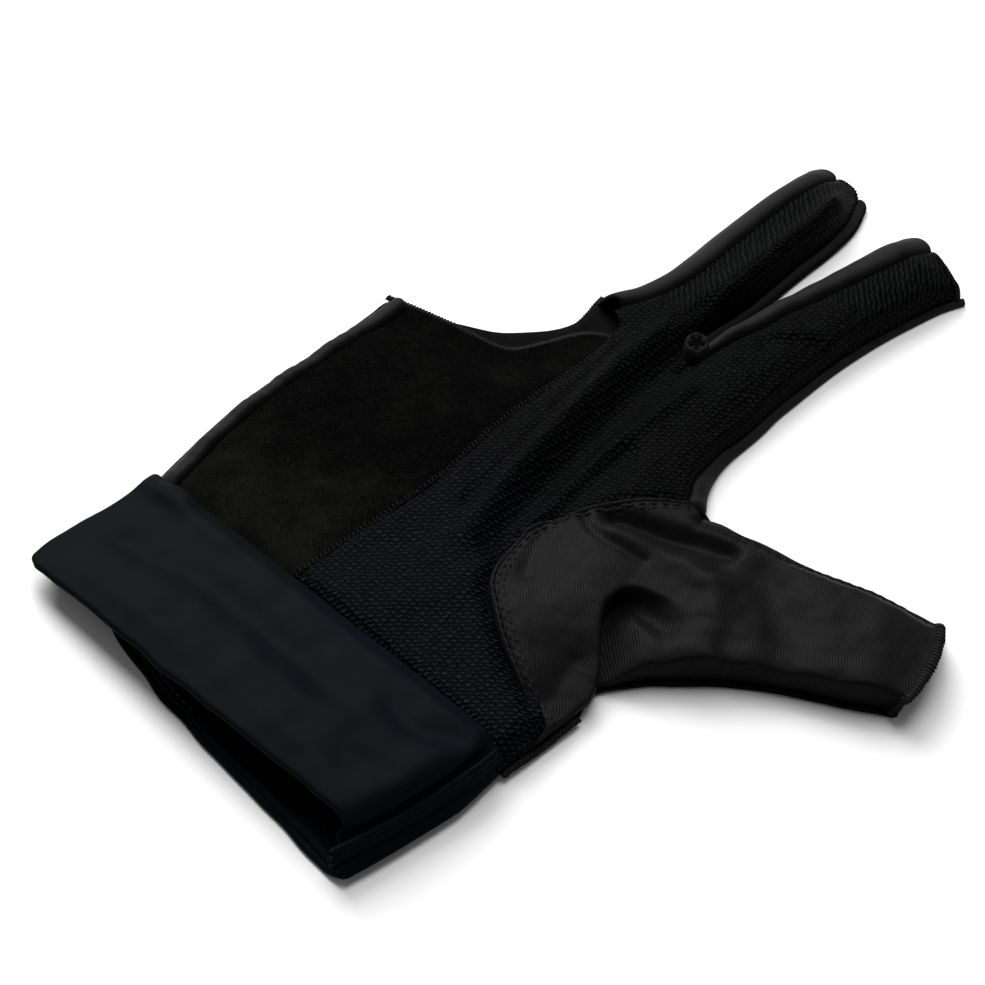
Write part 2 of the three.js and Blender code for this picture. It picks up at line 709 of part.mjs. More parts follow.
function cuffUpper(place) {
  const high = cuffRise * between(cuffRows, 'along', 'high', place.y / cuffHeight);
  return high * between(cuffProfile, 'across', 'upper', cuffShare(place));
}

function cuffLower(place) {
  return cuffRise * between(cuffProfile, 'across', 'lower', cuffShare(place));
}

function cuffSolid(inset, reach) {
  const shape = {
    upper: (place) => cuffUpper(place) - inset,
    lower: (place) => cuffLower(place) + inset,
    side: (place) => (cuffUpper(place) + cuffLower(place)) / 2,
  };
  return tubeSolid(cuff, cuffRound, shape, inset, { start: reach, end: reach });
}

// The turned edge that lies inside the lower side of the mouth.
function cuffHem() {
  const rings = [];
  for (let i = 0; i <= hemSteps; i += 1) {
    const x = THREE.MathUtils.lerp(-0.28, 0.36, i / hemSteps) * cuffWidth;
    const edge = -0.02 * cuffHeight - 0.01 * x;
    const low = cuffLower(beyond(x, edge)) + cuffWall + clearance;
    rings.push([
      new THREE.Vector3(x, edge + hemWidth, low),
      new THREE.Vector3(x, edge + hemWidth, low + hemCloth),
      new THREE.Vector3(x, edge, low + hemCloth),
      new THREE.Vector3(x, edge, low),
    ]);
  }
  return geometryOf(solidOf(skin(rings)));
}

function addCuff() {
  const band = cuffSolid(0, 0).subtract(cuffSolid(cuffWall, cuffWall));
  addPiece('cuff_band', geometryOf(band), knitLook);
  addPiece('cuff_hem', cuffHem(), knitLook);
  const seam = besideLine(cuff.right.getPoints(10), -(cordRadius + clearance));
  addPiece('cuff_side_seam', cordAlong(raised(seam, () => cuffRise / 2), cordRadius), knitLook);
}

const model = new THREE.Group();

function addPiece(name, geometry, look) {
  const material = new THREE.MeshStandardMaterial({ ...look, metalness: 0 });
  const mesh = new THREE.Mesh(geometry, material);
  mesh.name = name;
  model.add(mesh);
}

addCuff();
addPalm();
addPanels();
addGather();
addEdges();

const box = new THREE.Box3().setFromObject(model);
model.position.set(-(box.min.x + box.max.x) / 2, -(box.min.y + box.max.y) / 2, -box.min.z);

export default model;
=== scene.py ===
import math

import bpy
import numpy as np
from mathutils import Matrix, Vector
from mathutils.geometry import delaunay_2d_cdt


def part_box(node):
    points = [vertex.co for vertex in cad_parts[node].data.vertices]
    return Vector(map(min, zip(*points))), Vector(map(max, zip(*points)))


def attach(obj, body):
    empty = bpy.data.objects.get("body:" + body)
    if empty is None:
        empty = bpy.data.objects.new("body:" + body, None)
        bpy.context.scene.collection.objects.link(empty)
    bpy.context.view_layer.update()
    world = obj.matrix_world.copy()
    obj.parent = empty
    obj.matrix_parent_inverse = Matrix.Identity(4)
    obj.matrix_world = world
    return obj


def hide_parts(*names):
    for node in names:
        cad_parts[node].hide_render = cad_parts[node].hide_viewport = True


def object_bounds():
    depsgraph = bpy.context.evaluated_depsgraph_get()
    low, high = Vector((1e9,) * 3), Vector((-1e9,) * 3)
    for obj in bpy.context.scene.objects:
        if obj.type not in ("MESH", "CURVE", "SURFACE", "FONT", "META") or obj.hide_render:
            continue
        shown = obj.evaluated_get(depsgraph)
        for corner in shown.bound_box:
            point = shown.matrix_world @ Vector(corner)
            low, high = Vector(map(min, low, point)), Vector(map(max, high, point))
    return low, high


# A left-hand billiard glove lying back up. Places are millimetres in the hand's own frame: X to the
# thumb, Y to the fingers, Z up from the table, with the middle of the cuff's mouth at the origin.
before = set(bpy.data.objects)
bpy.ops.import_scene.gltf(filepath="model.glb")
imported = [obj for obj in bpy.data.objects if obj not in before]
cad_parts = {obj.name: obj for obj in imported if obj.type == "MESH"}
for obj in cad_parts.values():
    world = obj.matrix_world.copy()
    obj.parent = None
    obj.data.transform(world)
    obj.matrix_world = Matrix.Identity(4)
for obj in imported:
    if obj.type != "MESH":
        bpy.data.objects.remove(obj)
cad_low, cad_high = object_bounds()

MM = 0.001
# Main sizes in millimetres, as in the part's source
PALM_WIDTH = 110.0
PALM_LENGTH = 114.0
CUFF_WIDTH = 108.0
CUFF_HEIGHT = 36.0
CUFF_RISE = 13.5
FINGER_WIDTH = 25.0
FINGER_LENGTH = 70.0
THUMB_WIDTH = 28.0
THUMB_LENGTH = 60.0
THUMB_ANGLE = math.radians(26.6)
CUFF_MIDDLE = 0.85
# How high the back stands at most and at least, the walls of its cloth and of the cuff, and the
# widths of the rolled strips by the little finger and along the middle finger
PUFF = 8.8
LOWEST_BACK = 3.7
CLOTH = 1.1
CUFF_WALL = 1.7
SIDE_STRIP = 5.9
ROLLED_STRIP = 8.0

cuff_low, cuff_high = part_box("cuff_band")
ORIGIN = np.array([
    (cuff_low.x + cuff_high.x) / 2 - CUFF_MIDDLE * MM,
    cuff_high.y - CUFF_HEIGHT * MM,
    cad_low.z,
])


def table(columns, rows):
    """A short table as one array for each named column."""
    return {name: np.array(column, float) for name, column in zip(columns.split(), zip(*rows))}


def spots(places):
    """Places on the back, given as shares of the palm's width and of its length past the cuff."""
    return np.array(places, float) * (PALM_WIDTH, PALM_LENGTH) + (0, CUFF_HEIGHT)


def smooth_line(points, count):
    """A line of count places that runs smoothly through the points."""
    points = np.asarray(points, float)
    at = np.linspace(0, len(points) - 1, count)
    i = np.minimum(at.astype(int), len(points) - 2)
    t = (at - i)[:, None]
    before, start = points[np.maximum(i - 1, 0)], points[i]
    end, after = points[i + 1], points[np.minimum(i + 2, len(points) - 1)]
    leave, arrive = (end - before) / 2, (after - start) / 2
    cubic = 2 * start - 2 * end + leave + arrive
    square = 3 * end - 3 * start - 2 * leave - arrive
    return cubic * t**3 + square * t**2 + leave * t + start


def lengths_along(line):
    """The length along a line at each of its places."""
    return np.concatenate([[0], np.cumsum(np.linalg.norm(np.diff(line, axis=0), axis=1))])


def share_along(line):
    """The same as shares of the whole length."""
    along = lengths_along(line)
    return along / along[-1]


def read_along(line, values, at):
    """Values that belong to the places of a line, read at some lengths along it."""
    along = lengths_along(line)
    return np.stack([np.interp(at, along, column) for column in values.T], 1)


def at_share(line, share):
    """The places at some shares of a line's length."""
    return read_along(line, line, share * lengths_along(line)[-1])


def evened(line, step):
    """The same line with its places an even step apart."""
    whole = lengths_along(line)[-1]
    return read_along(line, line, np.linspace(0, whole, max(2, round(whole / step) + 1)))


def directions(line):
    """The way a line runs at each of its places."""
    ways = np.gradient(line, axis=0)
    return ways / np.maximum(np.linalg.norm(ways, axis=1, keepdims=True), 1e-9)


def beside(line, distance):
    """The line moved to its own left by a distance, or by one distance for each of its places."""
    ways = directions(line)
    left = np.stack([-ways[:, 1], ways[:, 0]], 1)
    return line + left * np.reshape(distance, (-1, 1))


def lifted(line, height):
    """Places of the plan at a height, or at one height for each of them."""
    return np.concatenate([line, np.reshape(np.broadcast_to(height, len(line)), (-1, 1))], 1)


def nearest(places, line):
    """How far each place is from the line, its foot there, the length along, and the side."""
    run = np.diff(line, axis=0)
    size = np.maximum((run**2).sum(1), 1e-12)
    share = (((places[:, None] - line[:-1]) * run).sum(2) / size).clip(0, 1)
    feet = line[:-1] + share[..., None] * run
    gaps = np.linalg.norm(places[:, None] - feet, axis=2)
    best = gaps.argmin(1)
    rows = np.arange(len(places))
    foot = feet[rows, best]
    off = places - foot
    side = np.where(run[best, 0] * off[:, 1] - run[best, 1] * off[:, 0] >= 0, 1.0, -1.0)
    along = lengths_along(line)[best] + share[rows, best] * np.sqrt(size[best])
    return gaps[rows, best], foot, along, side


def waves(places, length, seed, count=7):
    """Soft unevenness from -1 to 1, with crests about that length apart."""
    draw = np.random.default_rng(seed)
    total = np.zeros(len(places))
    for turn, phase, stretch in draw.uniform(0, 1, (count, 3)):
        way = np.array([math.cos(turn * math.tau), math.sin(turn * math.tau)])
        pitch = length * (0.7 + 0.8 * stretch)
        total += np.sin(places[:, :2] @ way * math.tau / pitch + phase * math.tau)
    return total / count**0.5


def bell(distance, width):
    """A soft bump of height 1, which is almost gone at twice its width."""
    return np.exp(-((distance / width) ** 2))


def folded(height, places, folds):
    """Heights of some places with folds added, each given by its line, lift and spread."""
    for line, lift, spread in folds:
        height = height + lift * bell(nearest(places, line)[0], spread)
    return height


def fold_lines(rows):
    """Folds from rows of three places, lift and spread."""
    return [
        (smooth_line([start, middle, end], 12), lift, spread)
        for start, middle, end, lift, spread in rows
    ]


# Outlines of the tubes, as in the part's source: along from the root as a share of the length,
# the left and right edges as shares of the width, and how far the two edges are out of level.
BODY = table("along left right", [
    (0.0, -0.491, 0.5), (0.11, -0.52, 0.502), (0.21, -0.542, 0.498), (0.31, -0.555, 0.46),
    (0.44, -0.56, 0.41), (0.57, -0.565, 0.37), (0.68, -0.573, 0.335), (0.75, -0.573, 0.28),
    (0.83, -0.573, 0.247), (0.93, -0.573, 0.238), (1.0, -0.573, 0.232),
])
MIDDLE = table("along left right", [
    (-0.1, -1.15, -0.03), (0.0, -1.11, -0.02), (0.07, -1.03, -0.02), (0.2, -0.96, -0.03),
    (0.34, -0.98, -0.04), (0.53, -1.03, -0.09), (0.76, -1.07, -0.13), (0.89, -1.08, -0.2),
    (1.0, -1.08, -0.34),
])
INDEX = table("along left right skew", [
    (-0.1, 0.02, 1.03, 0), (0.0, 0.02, 1.0, 0), (0.07, 0.02, 0.99, 0), (0.2, 0.03, 0.97, 0),
    (0.34, 0.05, 0.96, 0), (0.53, 0.11, 0.99, 0), (0.74, 0.17, 1.07, -0.01),
    (0.83, 0.2, 1.11, -0.03), (0.905, 0.245, 1.17, -0.045),
])
THUMB = table("along left right", [
    (-0.3, 0.9, -1.1), (-0.1, 0.95, -0.98), (0.0, 0.965, -0.82), (0.12, 0.95, -0.655),
    (0.33, 0.85, -0.53), (0.56, 0.715, -0.47), (0.77, 0.62, -0.45), (1.0, 0.5, -0.5),
])

# Ridges and dents of the back: three spots, lift as a share of the puff and spread as a share of
# the palm's width. Broad ones follow the part's own; finer ones are creases of the cloth.
FOLDS = [
    ((0.08, 0.31), (-0.04, 0.76), (-0.075, 1.51), 0.22, 0.036),
    ((0.012, 0.37), (-0.03, 0.58), (-0.1, 0.88), -0.11, 0.014),
    ((0.115, 0.34), (0.04, 0.69), (-0.022, 1.06), -0.42, 0.05),
    ((0.14, 0.4), (0.098, 0.66), (0.1, 0.88), 0.16, 0.02),
    ((0.15, 0.47), (0.138, 0.59), (0.13, 0.68), -0.22, 0.03),
    ((0.05, 0.05), (0.14, 0.2), (0.1, 0.4), 0.1, 0.07),
    ((-0.36, 0.1), (-0.36, 0.4), (-0.34, 0.68), -0.16, 0.15),
    ((0.15, 1.0), (0.18, 1.3), (0.2, 1.55), 0.12, 0.06),
    ((0.3, 0.25), (0.34, 0.35), (0.27, 0.52), 0.16, 0.07),
    ((0.25, 0.54), (0.34, 0.57), (0.46, 0.6), -0.2, 0.035),
    ((0.43, 0.56), (0.52, 0.5), (0.56, 0.44), 0.12, 0.04),
    ((0.55, 0.62), (0.63, 0.58), (0.68, 0.55), -0.2, 0.045),
    ((0.7, 0.66), (0.8, 0.68), (0.88, 0.7), 0.06, 0.07),
    ((0.12, 1.09), (0.155, 1.14), (0.21, 1.175), -0.1, 0.02),
    ((0.11, 1.13), (0.15, 1.17), (0.2, 1.205), 0.07, 0.018),
    ((0.31, 0.72), (0.24, 1.0), (0.27, 1.5), -0.32, 0.065),
    ((-0.2, 0.78), (-0.3, 0.72), (-0.5, 0.66), -0.26, 0.09),
    ((-0.25, 1.63), (-0.13, 1.64), (-0.03, 1.62), -0.5, 0.07),
    ((0.04, 1.6), (0.15, 1.6), (0.28, 1.56), -0.42, 0.07),
]
FOLD_LINES = [
    (smooth_line(spots([start, middle, end]), 16), lift * PUFF, spread * PALM_WIDTH)
    for start, middle, end, lift, spread in FOLDS
]


def tube_edges(rows, root, forward, sideways, length, width):
    """The left and right edges of a tube, from its root to its tip."""
    lines = []
    for side, sign in (("left", -1), ("right", 1)):
        along = (rows["along"] + sign * rows.get("skew", 0.0)) * length
        points = root + along[:, None] * forward + (rows[side] * width)[:, None] * sideways
        lines.append(evened(smooth_line(points, 80), 1.5))
    return lines


AHEAD, ACROSS = np.array([0.0, 1.0]), np.array([1.0, 0.0])
THUMB_AHEAD = np.array([math.cos(THUMB_ANGLE), math.sin(THUMB_ANGLE)])
THUMB_ACROSS = np.array([-THUMB_AHEAD[1], THUMB_AHEAD[0]])
FINGER_ROOT = spots((0, 1))
THUMB_ROOT = spots((0.396, 0.464))
FINGERS = (FINGER_ROOT, AHEAD, ACROSS, FINGER_LENGTH, FINGER_WIDTH)
body_left, body_right = tube_edges(BODY, spots((0, 0)), AHEAD, ACROSS, PALM_LENGTH, PALM_WIDTH)
middle_left, middle_right = tube_edges(MIDDLE, *FINGERS)
index_left, index_right = tube_edges(INDEX, *FINGERS)
thumb_left, thumb_right = tube_edges(
    THUMB, THUMB_ROOT, THUMB_AHEAD, THUMB_ACROSS, THUMB_LENGTH, THUMB_WIDTH
)


def drawn(places, count=60):
    """A seam or an edge on the back, drawn through places in shares of the palm."""
    return evened(smooth_line(spots(places), count), 0.9)


SUEDE_SEAM = drawn([
    (-0.073, -0.03), (-0.073, 0.21), (-0.075, 0.38), (-0.1, 0.535), (-0.11, 0.675),
    (-0.118, 0.825), (-0.135, 0.925),
])
SUEDE_EDGE = drawn([
    (-0.573, 0.68), (-0.445, 0.71), (-0.345, 0.728), (-0.273, 0.746), (-0.236, 0.8),
    (-0.2, 0.868), (-0.164, 0.895), (-0.123, 0.904),
])
PALM_EDGE = drawn([
    (-0.57, 0.7), (-0.455, 0.728), (-0.345, 0.772), (-0.273, 0.842), (-0.245, 0.904),
    (-0.255, 0.965), (-0.265, 1.0),
])
# The palm layer draws in below the suede's edge, by this much at the side and not by the fingers.
PALM_EDGE_TUCK = 2.7
tuck = PALM_EDGE_TUCK * (1 - np.linspace(0, 1, len(PALM_EDGE)) / 0.55).clip(0, 1)
PALM_EDGE = beside(PALM_EDGE, -tuck)
THUMB_SEAM = drawn([
    (0.315, 0.675), (0.227, 0.57), (0.173, 0.465), (0.155, 0.404), (0.164, 0.342), (0.2, 0.263),
    (0.255, 0.219), (0.327, 0.175), (0.418, 0.136), (0.5, 0.105),
], 80)
WEB = THUMB_SEAM[0]
GATHER = spots((0.012, 0.995))


def part_of(line, low=None, high=None, axis=1):
    """The stretch of a line between two values of one of its axes."""
    keep = np.ones(len(line), bool)
    if low is not None:
        keep &= line[:, axis] >= low
    if high is not None:
        keep &= line[:, axis] <= high
    return line[keep]


def joined(*lines):
    """Lines and places one after another as one line."""
    return np.concatenate([np.atleast_2d(line) for line in lines])


def eased(line, step=1.0, rounds=6):
    """A line with its corners rounded."""
    line = evened(line, step)
    for _ in range(rounds):
        line[1:-1] = (line[:-2] + 2 * line[1:-1] + line[2:]) / 4
    return line


def run_on(line, distance):
    """The line with both its ends run on straight."""
    first = line[0] + (line[0] - line[1]) / np.linalg.norm(line[0] - line[1]) * distance
    last = line[-1] + (line[-1] - line[-2]) / np.linalg.norm(line[-1] - line[-2]) * distance
    return joined(first, line, last)


side_seam = beside(body_left, -SIDE_STRIP)
middle_left_seam = beside(middle_left, -ROLLED_STRIP)
index_strip_width = np.interp(index_left[:, 1], (150, 165, 205), (3.4, 6.0, 9.0))
index_left_seam = beside(index_left, -index_strip_width)


def strip_sizes(outer, rows):
    """The width of a low strip and the height of its upper edge, along its outer edge."""
    share = share_along(outer)
    return [np.interp(share, rows["along"], rows[name]) for name in ("width", "height")]


# The low strip on the thumb side of the index finger, from the web to the tip
web_outer = eased(joined(
    part_of(body_right, WEB[1] + 3.5, FINGER_ROOT[1] - 4), part_of(index_right, FINGER_ROOT[1]),
))
WEB_STRIP = table("along width height", [
    (0.0, 3.2, 4.6), (0.06, 2.5, 3.8), (0.12, 1.7, 2.8), (0.22, 1.2, 1.8), (0.4, 1.0, 1.5),
    (0.55, 0.9, 1.3), (0.68, 0.8, 1.2), (0.8, 0.7, 1.1), (1.0, 0.7, 1.1),
])
web_width, web_height = strip_sizes(web_outer, WEB_STRIP)
web_inner = beside(web_outer, web_width)

# The narrow strip on the inner side of the middle finger
inner_outer = beside(part_of(middle_right, FINGER_ROOT[1] + 0.5), 0.7)
INNER_STRIP = table("along width height", [
    (0.0, 1.6, 4.2), (0.1, 1.3, 2.6), (0.3, 1.2, 1.8), (0.7, 1.4, 1.8), (1.0, 1.7, 2.0),
])
inner_width, inner_height = strip_sizes(inner_outer, INNER_STRIP)
inner_inner = beside(inner_outer, inner_width)

# The strip along the upper side of the thumb
thumb_outer = part_of(thumb_left, WEB[0] + 3, axis=0)
thumb_width = np.interp(share_along(thumb_outer), (0, 0.3, 0.6, 1), (5.4, 4.6, 3.4, 2.2))
thumb_height = np.interp(share_along(thumb_outer), (0, 0.25, 1), (6.6, 6.2, 4.6))
thumb_inner = beside(thumb_outer, -thumb_width)


def back_height(places):
    """Height of the back above the table, away from its sides."""
    return np.maximum(folded(np.full(len(places), PUFF), places, FOLD_LINES), LOWEST_BACK)


class Wall:
    """A side that the cloth rounds over. The line is its outer edge, with the glove on the left;
    radius is how far in the rounding starts, low the height that the cloth ends at, spare how far
    its flat cut reaches past the edge, square how boxy the shoulder is, 1 being round, fade the
    length over which the side begins, and under how far it turns in below its widest."""

    def __init__(self, line, radius, low, spare, square=1.0, fade=0.0, under=0.0):
        self.line = line
        self.along = lengths_along(line)
        self.radius = radius
        self.low = np.broadcast_to(low, len(line))
        self.spare = np.broadcast_to(spare, len(line))
        self.square = square
        self.fade = fade
        self.under = under

    def cut_edge(self):
        """Where the flat cut of the cloth ends."""
        return beside(self.line, -self.spare)

    def reach(self, flat):
        """Which cloth is over the side, the crest above it, the way out, its turn, its foot and
        how far the side has begun."""
        gap, _, along, side = nearest(flat, self.line)
        inside = gap * side
        spare, low = (np.interp(along, self.along, of) for of in (self.spare, self.low))
        over = (inside < self.radius) & (gap < self.radius + spare + 1)
        ways = read_along(self.line, directions(self.line), along)
        out = np.stack([ways[:, 1], -ways[:, 0]], 1)
        crest = flat + out * (inside - self.radius)[:, None]
        turn = ((self.radius - inside) / (self.radius + spare)).clip(0, 1)
        turn = turn * (math.pi / 2 + self.under)
        begun = (along / self.fade).clip(0, 1) if self.fade else np.ones(len(flat))
        return over, crest, out, turn, low, begun**0.7


def draped(flat, walls, seams, rise=0.0, uneven=0.12, seed=1, folds=()):
    """The places of a cloth of the back for places of its flat cut: raised to the back's height,
    dipped at its seams, given by line, depth and width, and laid over its walls."""
    crest = flat.copy()
    sides = [(wall, *wall.reach(flat)) for wall in walls]
    for _, over, top, _, _, _, begun in sides:
        crest[over] += ((top - crest) * begun[:, None])[over]
    height = folded(back_height(crest) + rise, crest, folds)
    for line, depth, width in seams:
        gap, _, along, _ = nearest(crest, line)
        height -= depth * bell(gap, width)
        height += 0.1 * np.sin(along * math.tau / 2.4) * bell(gap, 2.0)
    height += uneven * waves(flat, 9.0, seed) + 0.5 * uneven * waves(flat, 3.5, seed + 1)
    height = np.maximum(height, 2.2)
    places = lifted(flat, height)
    for wall, over, top, out, turn, low, begun in sides:
        plan = top + out * (wall.radius * np.sin(turn) ** wall.square)[:, None]
        waist = low + (height - low) * 0.8 * (wall.under > 0)
        above = waist + (height - waist) * np.abs(np.cos(turn)) ** wall.square
        below = waist + (waist - low) * np.cos(turn) / max(math.sin(wall.under), 0.01)
        laid = lifted(plan, np.where(turn < math.pi / 2, above, below))
        places[over] += ((laid - places) * begun[:, None])[over]
    return places


def inside_of(places, outline):
    """Which places lie inside a closed outline."""
    x, y = places[:, 0][:, None], places[:, 1][:, None]
    ax, ay = outline[:, 0], outline[:, 1]
    bx, by = np.roll(ax, -1), np.roll(ay, -1)
    crosses = (ay > y) != (by > y)
    at = ax + (y - ay) / np.where(by == ay, 1e-9, by - ay) * (bx - ax)
    return (crosses & (x < at)).sum(1) % 2 == 1


def cut_cloth(outline, step):
    """Flat cloth cut to an outline, as places and triangles a step apart."""
    closed = evened(joined(outline, outline[0]), step)[:-1]
    low, high = closed.min(0), closed.max(0)
    rows = []
    for k, y in enumerate(np.arange(low[1], high[1], step * 0.866)):
        x = np.arange(low[0] + step / 2 * (k % 2), high[0], step)
        rows.append(np.stack([x, np.full(len(x), y)], 1))
    grid = np.concatenate(rows)
    grid = grid[inside_of(grid, closed)]
    grid = grid[nearest(grid, joined(closed, closed[0]))[0] > 0.55 * step]
    places = np.concatenate([closed, grid])
    made = delaunay_2d_cdt([Vector(p) for p in places], [], [list(range(len(closed)))], 1, 1e-5)
    flat = np.array([(v.x, v.y) for v in made[0]])
    return flat, [tuple(face) for face in made[2]]


def to_frame(places):
    """Places of the hand's own frame in metres of the shared one."""
    return np.asarray(places, float) * MM + ORIGIN


def new_piece(name, places, faces, finish, nodes=(), cut=None):
    """A mesh piece of the glove in the frame, riding on the one body and replacing CAD nodes.
    finish is its material and a slot name, which is not used, and cut its places on the flat cloth."""
    material, slot = finish
    mesh = bpy.data.meshes.new(name)
    mesh.from_pydata(to_frame(places).tolist(), [], faces)
    mesh.polygons.foreach_set("use_smooth", [True] * len(mesh.polygons))
    if cut is not None:
        layer = mesh.uv_layers.new(name="cut")
        corners = np.empty(len(mesh.loops), np.int32)
        mesh.loops.foreach_get("vertex_index", corners)
        layer.data.foreach_set("uv", (np.asarray(cut)[corners] * MM).ravel())
    mesh.materials.append(material)
    piece = bpy.data.objects.new(name, mesh)
    bpy.context.scene.collection.objects.link(piece)
    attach(piece, "root")
    if nodes:
        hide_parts(*nodes)
    return piece


def thickened(piece, thickness):
    """Gives a cloth its thickness, inwards from its outer face."""
    solidify = piece.modifiers.new("thickness", "SOLIDIFY")
    solidify.thickness = thickness * MM
    solidify.offset = -1
    solidify.use_rim = True


def grid_faces(rows, columns, closed=False, flip=False):
    """Faces of a grid of rows by columns; closed joins the last column to the first."""
    faces = []
    for i in range(rows - 1):
        for k in range(columns if closed else columns - 1):
            a, b = i * columns + k, i * columns + (k + 1) % columns
            face = (a, b, b + columns, a + columns)
            faces.append(face[::-1] if flip else face)
    return faces


def grid_piece(name, rows, finish, node, cut, closed=False, flip=False):
    """A piece made of rows of places, all with as many places."""
    faces = grid_faces(len(rows), len(rows[0]), closed, flip)
    return new_piece(name, np.concatenate(rows), faces, finish, [node], cut)


def grid_cut(rows_at, columns_at):
    """The flat cut of a grid, from where its columns lie across it and its rows along it."""
    return np.stack([np.tile(columns_at, len(rows_at)), np.repeat(rows_at, len(columns_at))], 1)


def square_to(ways, axis=(0.0, 0.0, 1.0)):
    """The ways that are square to some ways and to an axis."""
    across = np.cross(ways, axis)
    return across / np.maximum(np.linalg.norm(across, axis=1, keepdims=True), 1e-6)


def round_thread(path, radius, sides, axis=(0.0, 0.0, 1.0)):
    """A round thread along a path, as places and faces; axis is a way that it never runs in."""
    ways = directions(path)
    across = square_to(ways, axis)
    rise = np.cross(across, ways)
    turns = (np.arange(sides) / sides * math.tau)[None, :, None]
    around = np.cos(turns) * across[:, None] + np.sin(turns) * rise[:, None]
    ring = path[:, None] + around * np.broadcast_to(radius, len(path))[:, None, None]
    faces = grid_faces(len(path), sides, closed=True)
    faces.append(tuple(range(sides))[::-1])
    faces.append(tuple(range((len(path) - 1) * sides, len(path) * sides)))
    return ring.reshape(-1, 3), faces


def merged(parts):
    """Several sets of places and faces as one."""
    places, faces, base = [], [], 0
    for some, made in parts:
        places.append(some)
        faces += [tuple(base + v for v in face) for face in made]
        base += len(some)
    return np.concatenate(places), faces


def overlock(name, line, half_width, half_height, pitch, nodes=(), radius=0.17, core=True):
    """An overlocked edge: a narrow core of cloth with thread looped over it at an even pitch."""
    line = evened(line, pitch / 9)
    ways = directions(line)
    side = square_to(ways)
    rise = np.cross(side, ways)
    parts = []
    if core:
        thin = evened(line, 0.8)
        places, faces = round_thread(thin, half_height, 8)
        across = np.repeat(square_to(directions(thin)), 8, 0)
        out = ((places - np.repeat(thin, 8, 0)) * across).sum(1, keepdims=True)
        parts.append((places + across * out * (half_width / half_height - 1), faces))
    turn = lengths_along(line) * math.tau / pitch
    uneven = 1 + 0.08 * waves(line, 2.3, 7)
    loops = line + side * ((half_width + radius * 0.4) * np.cos(turn) * uneven)[:, None]
    loops += rise * ((half_height + radius * 0.4) * np.sin(turn) * uneven)[:, None]
    loops += ways * (0.22 * pitch * np.sin(turn))[:, None]
    parts.append(round_thread(loops, radius, 5, ways))
    new_piece(name, *merged(parts), THREAD, nodes)


def stitches(name, line, length, gap, radius, finish, sunk=0.5):
    """A row of running stitches whose ends sink into the cloth."""
    line = evened(line, 0.1)
    arch = np.abs(np.linspace(-1, 1, 7)) ** 3
    parts = []
    for start in np.arange(0.3, lengths_along(line)[-1] - length, length + gap):
        path = read_along(line, line, np.linspace(start, start + length, 7))
        path[:, 2] -= arch * sunk
        parts.append(round_thread(path, radius * (1 - 0.45 * arch), 6))
    new_piece(name, *merged(parts), finish)


# Materials

FIBRE_IOR = 1.5


def linear(colour):
    """An sRGB hex colour as linear values."""
    parts = [int(colour[i:i + 2], 16) / 255 for i in (1, 3, 5)]
    return [p / 12.92 if p <= 0.04045 else ((p + 0.055) / 1.055) ** 2.4 for p in parts] + [1.0]


def add(tree, kind, inputs=None, **settings):
    """A shader node with its settings, and a value or a link for each input; gives its output."""
    made = tree.nodes.new("ShaderNode" + kind)
    for name, value in settings.items():
        setattr(made, name, value)
    for name, value in (inputs or {}).items():
        if isinstance(value, bpy.types.NodeSocket):
            tree.links.new(value, made.inputs[name])
        else:
            made.inputs[name].default_value = value
    return next(output for output in made.outputs if output.enabled)


def new_cloth(name, roughness, specular, sheen=0.0, sheen_colour="#ffffff"):
    """A cloth's material with its shader's plain values; gives its nodes and its shader too."""
    material = bpy.data.materials.new(name)
    material.use_nodes = True
    tree = material.node_tree
    shader = tree.nodes["Principled BSDF"]
    shader.inputs["Roughness"].default_value = roughness
    shader.inputs["IOR"].default_value = FIBRE_IOR
    shader.inputs["Specular IOR Level"].default_value = specular
    shader.inputs["Sheen Weight"].default_value = sheen
    shader.inputs["Sheen Roughness"].default_value = 0.4
    shader.inputs["Sheen Tint"].default_value = linear(sheen_colour)
    return material, tree, shader


def cut_place(tree, turn=0.0):
    """The place on the flat cut of a cloth, in millimetres and turned in its plane."""
    cut = add(tree, "UVMap", uv_map="cut")
    return add(tree, "Mapping", {"Vector": cut, "Scale": (1 / MM,) * 3, "Rotation": (0, 0, turn)})


def piece_place(tree):
    """The place on the piece, in millimetres."""
    place = add(tree, "TexCoord").node.outputs["Object"]
    return add(tree, "Mapping", {"Vector": place, "Scale": (1 / MM,) * 3})


def wave(tree, place, axis, pitch):
    """A wave from -1 to 1 across one axis of a place, with its crests a pitch apart."""
    split = add(tree, "SeparateXYZ", {"Vector": place}).node.outputs[axis]
    phase = add(tree, "Math", {0: split, 1: math.tau / pitch}, operation="MULTIPLY")
    return add(tree, "Math", {0: phase}, operation="COSINE")


def weighted(tree, *terms):
    """The sum of values, each times its weight, and of plain numbers."""
    total = sum(term for term in terms if isinstance(term, float))
    for term in terms:
        if not isinstance(term, float):
            total = add(tree, "Math", {0: term[0], 1: term[1], 2: total}, operation="MULTIPLY_ADD")
    return total


def finish_cloth(tree, shader, shade, span, colours, *reliefs):
    """Colours a cloth between two colours as its shade crosses a span, and gives it relief from
    heights, each with its depth in millimetres and its strength."""
    share = add(tree, "MapRange", {"Value": shade, "From Min": span[0], "From Max": span[1]})
    dark, light = (linear(colour) if isinstance(colour, str) else colour for colour in colours)
    mixed = add(tree, "MixRGB", {"Fac": share, "Color1": dark, "Color2": light})
    tree.links.new(mixed, shader.inputs["Base Color"])
    normal = None
    for height, depth, strength in reliefs:
        inputs = {"Height": height, "Distance": depth * MM, "Strength": strength}
        if normal:
            inputs["Normal"] = normal
        normal = add(tree, "Bump", inputs)
    tree.links.new(normal, shader.inputs["Normal"])


